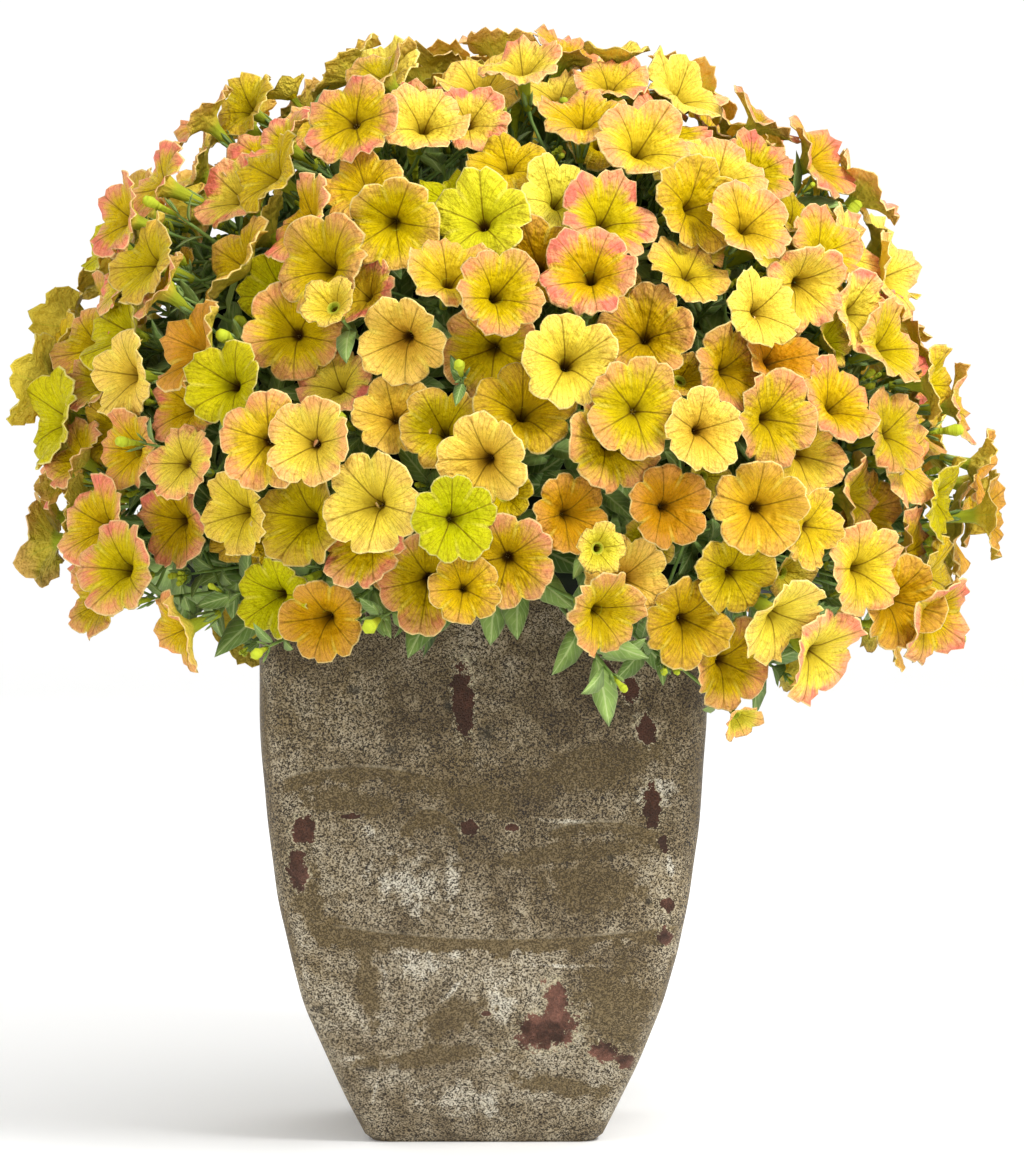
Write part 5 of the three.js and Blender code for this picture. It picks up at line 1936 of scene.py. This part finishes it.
def glaze_finish():
    """Aged olive-brown glaze: dense speckle, crust, brushed strokes and chips to the clay."""
    made, tree, shader = new_finish("aged_glaze", 0.5, Specular_IOR_Level=0.35)
    place = object_place(tree)
    parts = split(place)
    broad = cloudy(place, 13.0, 4.0, 0.6)
    middle = cloudy(place, 55.0, 5.0, 0.65)
    cells = node(tree, "ShaderNodeTexVoronoi", {"Vector": place, "Scale": 1500.0}).outputs["Color"]
    grit = split(cells)[0]
    speckle = times_add(grit, 0.3, times(cloudy(place, 700.0, 3.0, 0.75), 0.7))
    ragged = cloudy(place, 85.0, 5.0, 0.7)
    other_sides = minus(1.0, front_of(parts))

    # Where the surface is crusty and where it is smooth
    patch_group = ragged_patch()
    crust, _ = patches(tree, patch_group, place, ragged, CRUSTS, 0.8)
    smooth, _ = patches(tree, patch_group, place, ragged, SMOOTHS, 0.35)
    line, stroke = brushed(tree, brush_mark(), place, middle, STROKES)
    aslant = {"Vector": place, "Rotation": (0.0, 0.5, 0.3), "Scale": (0.6, 0.6, 1.5)}
    sweep = node(tree, "ShaderNodeMapping", aslant).outputs[0]
    wavy = {"Vector": sweep, "Scale": 3.2, "Distortion": 5.0, "Detail": 2.0}
    bands = node(tree, "ShaderNodeTexWave", wavy)
    other_smooth = times(soft_step(0.7, 0.85, bands.outputs["Fac"]), other_sides)
    other_smooth = times(other_smooth, soft_step(0.4, 0.56, broad))
    smooth = maths("MAXIMUM", maths("MAXIMUM", smooth, stroke), other_smooth)
    low_down = soft_step(0.26, 0.06, parts[2])
    crusty = soft_step(0.38, 0.66, times_add(middle, 0.5, times(broad, 0.5)))
    crusty = times_add(crusty, 0.5, times_add(low_down, 0.16, 0.06))
    crusty = maths("MAXIMUM", crusty, times(crust, times_add(middle, 1.7, 0.0)))
    crusty = times(crusty, times_add(smooth, -0.75, 1.0))

    # Olive ground, warmer and darker in clouds, under dark pits and pale grains
    colour = blend_colour(soft_step(0.3, 0.7, broad), srgb(66, 50, 28), srgb(116, 96, 56))
    colour = blend_colour(soft_step(0.3, 0.8, middle), colour, srgb(106, 88, 56))
    colour = blend_colour(times(smooth, 0.6), colour, srgb(98, 80, 42))
    pits = times(soft_step(0.47, 0.37, speckle), times_add(smooth, -0.4, 1.0))
    colour = blend_colour(pits, colour, srgb(34, 25, 14))
    grain = soft_step(0.47, 0.57, times_add(crusty, 0.07, speckle))
    grain = times(grain, times_add(crusty, 1.1, 0.12), clamp=True)
    pale = blend_colour(crusty, srgb(172, 150, 108), srgb(216, 208, 188))
    colour = blend_colour(grain, colour, pale)
    line = times(line, soft_step(0.4, 0.62, middle))
    colour = blend_colour(times(line, 0.6), colour, srgb(160, 146, 118))

    # Chips bare the clay, and blackish stains lie on the glaze
    jagged = cloudy(place, 150.0, 5.0, 0.75)
    chip, rim = patches(tree, patch_group, place, jagged, CHIPS, 0.06)
    stain, _ = patches(tree, patch_group, place, ragged, STAINS, 0.8)
    rough_spot = cloudy(place, 24.0, 5.0, 0.65)
    back_chip = times(soft_step(0.68, 0.69, rough_spot), other_sides)
    back_rim = times(soft_step(0.65, 0.675, rough_spot), other_sides)
    chip = maths("MAXIMUM", chip, back_chip)
    rim = maths("MAXIMUM", rim, minus(back_rim, back_chip))
    rim = times(rim, soft_step(0.45, 0.6, times_add(middle, 0.6, times(speckle, 0.45))))
    colour = blend_colour(rim, colour, srgb(198, 186, 152))
    clay = blend_colour(low_down, srgb(86, 54, 40), srgb(140, 96, 80))
    clay = blend_colour(soft_step(0.7, 0.35, middle), clay, srgb(62, 40, 28))
    colour = blend_colour(chip, colour, clay)
    colour = blend_colour(times(stain, 0.75), colour, srgb(40, 36, 26))
    feed(shader.inputs["Base Color"], colour)
    rough = times_add(grain, 0.35, 0.45)
    rough = add(rough, times_add(chip, 0.3, times(smooth, -0.08)))
    feed(shader.inputs["Roughness"], rough)
    # A bump works out its height three times over, so the relief is of plain noise alone
    relief = times_add(soft_step(0.38, 0.56, speckle), 1.1, times(middle, 0.6))
    roughen(shader, relief, 0.8, 0.0014)
    return made


pot.data.materials.clear()
pot.data.materials.append(glaze_finish())
print("glaze:", len(pot.data.materials[0].node_tree.nodes), "nodes")

# %% [markdown]
# Potting soil fills the pot to a finger under the rim. It is a closed body with an uneven top, and
# crumbs of peat and bark lie on it. The crumbs are a handful of rough little stones, scattered over the
# top faces by a small tree.

# %% The soil
SOIL_GAP = 0.4
SOIL_MOUND = 5
CRUMB_VARIANTS = 4
CRUMB_SIZE = 0.0021
CRUMB_SEED = 7


def soil_mesh():
    """The soil from the pot's floor to its uneven top."""
    rings = []
    corner = POT_CORNER - POT_WALL + 2
    for height in np.linspace(POT_FLOOR + SOIL_GAP, SOIL_TOP, 16):
        rings.append(rounded_square(pot_half_width(height) - POT_WALL - SOIL_GAP, corner, height))
    top = pot_half_width(SOIL_TOP) - POT_WALL - SOIL_GAP
    for share in np.linspace(1, 0.04, 22)[1:]:
        ring = []
        for x, y, z in rounded_square(top * share, corner * share, SOIL_TOP):
            uneven = noise.noise(Vector((x, y, 0)) * 45) * 2.2 + noise.noise(Vector((x, y, 0.3)) * 130) * 1.4
            ring.append((x, y, z + (SOIL_MOUND * (1 - share**2) + uneven * min(1, (1 - share) * 8)) * MM))
        rings.append(ring)
    return closed_loft("soil_bed", rings)


def crumb_original(number):
    """A rough little crumb of peat or bark."""
    draw = seeded_draw(800 + number)
    work = bmesh.new()
    bmesh.ops.create_icosphere(work, subdivisions=1, radius=1.0)
    stretch = Vector((1.0 + draw(), 0.7 + 0.5 * draw(), 0.5 + 0.4 * draw()))
    for vertex in work.verts:
        vertex.co = vertex.co * (0.75 + 0.5 * draw()) * stretch
    made = bpy.data.meshes.new(f"crumb_{number:02d}")
    work.to_mesh(made)
    work.free()
    return made


def crumbs_tree(group):
    """The tree that scatters crumbs over the top of the soil."""
    sizes = [("Crumb size", "NodeSocketFloat", CRUMB_SIZE), ("Crumb seed", "NodeSocketInt", CRUMB_SEED)]
    tree, start, end = new_tree("soil_crumbs", sizes)
    facing = split(node(tree, "GeometryNodeInputNormal").outputs[0])[2]
    high = split(node(tree, "GeometryNodeInputPosition").outputs[0])[2]
    top = times(maths("GREATER_THAN", facing, 0.5), maths("GREATER_THAN", high, 0.3))
    scatter = node(tree, "GeometryNodeDistributePointsOnFaces", {
        "Mesh": start["Geometry"],
        "Selection": top,
        "Density": 14000.0,
        "Seed": start["Crumb seed"],
    })
    index = node(tree, "FunctionNodeRandomValue", data_type="INT")
    index.inputs[4].default_value, index.inputs[5].default_value = 0, CRUMB_VARIANTS - 1
    turn = node(tree, "FunctionNodeRandomValue", data_type="FLOAT_VECTOR")
    turn.inputs[1].default_value = (6.28, 6.28, 6.28)
    size = node(tree, "FunctionNodeRandomValue", data_type="FLOAT")
    size.inputs[2].default_value, size.inputs[3].default_value = 0.35, 1.3
    info = node(tree, "GeometryNodeCollectionInfo", {"Collection": group, "Separate Children": True})
    crumbs = node(tree, "GeometryNodeInstanceOnPoints", {
        "Points": scatter.outputs["Points"],
        "Instance": info.outputs[0],
        "Pick Instance": True,
        "Instance Index": index.outputs[2],
        "Rotation": turn.outputs[0],
        "Scale": times(size.outputs[1], start["Crumb size"]),
    }).outputs[0]
    joined = node(tree, "GeometryNodeJoinGeometry")
    tree.links.new(start["Geometry"], joined.inputs[0])
    tree.links.new(crumbs, joined.inputs[0])
    real = node(tree, "GeometryNodeRealizeInstances", {0: joined.outputs[0]}).outputs[0]
    finish = node(tree, "GeometryNodeSetMaterial", {"Geometry": real, "Material": potting_soil})
    tree.links.new(finish.outputs[0], end[0])
    return tree


potting_soil, tree, shader = new_finish("peat_and_bark", 0.95)
spot = object_place(tree)
peat = blend_colour(soft_step(0.4, 0.65, cloudy(spot, 160.0, 4.0)), srgb(38, 26, 18), srgb(72, 52, 36))
bark = soft_step(0.62, 0.7, cloudy(spot, 330.0, 2.0))
feed(shader.inputs["Base Color"], blend_colour(bark, peat, srgb(120, 88, 58)))
roughen(shader, cloudy(spot, 900.0, 4.0), 0.8, 0.001)

crumb_originals = originals("crumb_originals", [crumb_original(n) for n in range(CRUMB_VARIANTS)])
soil_bed = in_scene("soil_bed", soil_mesh())
sizes = {"Crumb size": CRUMB_SIZE, "Crumb seed": CRUMB_SEED}
print("soil faces:", grown(soil_bed, crumbs_tree(crumb_originals), sizes, "soil"))

# %% [markdown]
# Last, the originals are removed, the triangles are counted, and the sizes of the CAD box and of the
# finished object are put side by side.

# %% Finish
for group in (bloom_originals, leaf_originals, shoot_originals, crumb_originals):
    for original in list(group.objects):
        bpy.data.objects.remove(original)
    bpy.data.collections.remove(group)

triangles = 0
for piece in scene.objects:
    if piece.type == "MESH" and not piece.hide_render and piece != floor:
        triangles += sum(len(face.vertices) - 2 for face in piece.data.polygons)
print("triangles in all:", triangles)
visual_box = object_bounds()
sizes = {"cad": cad_box, "visual": visual_box}
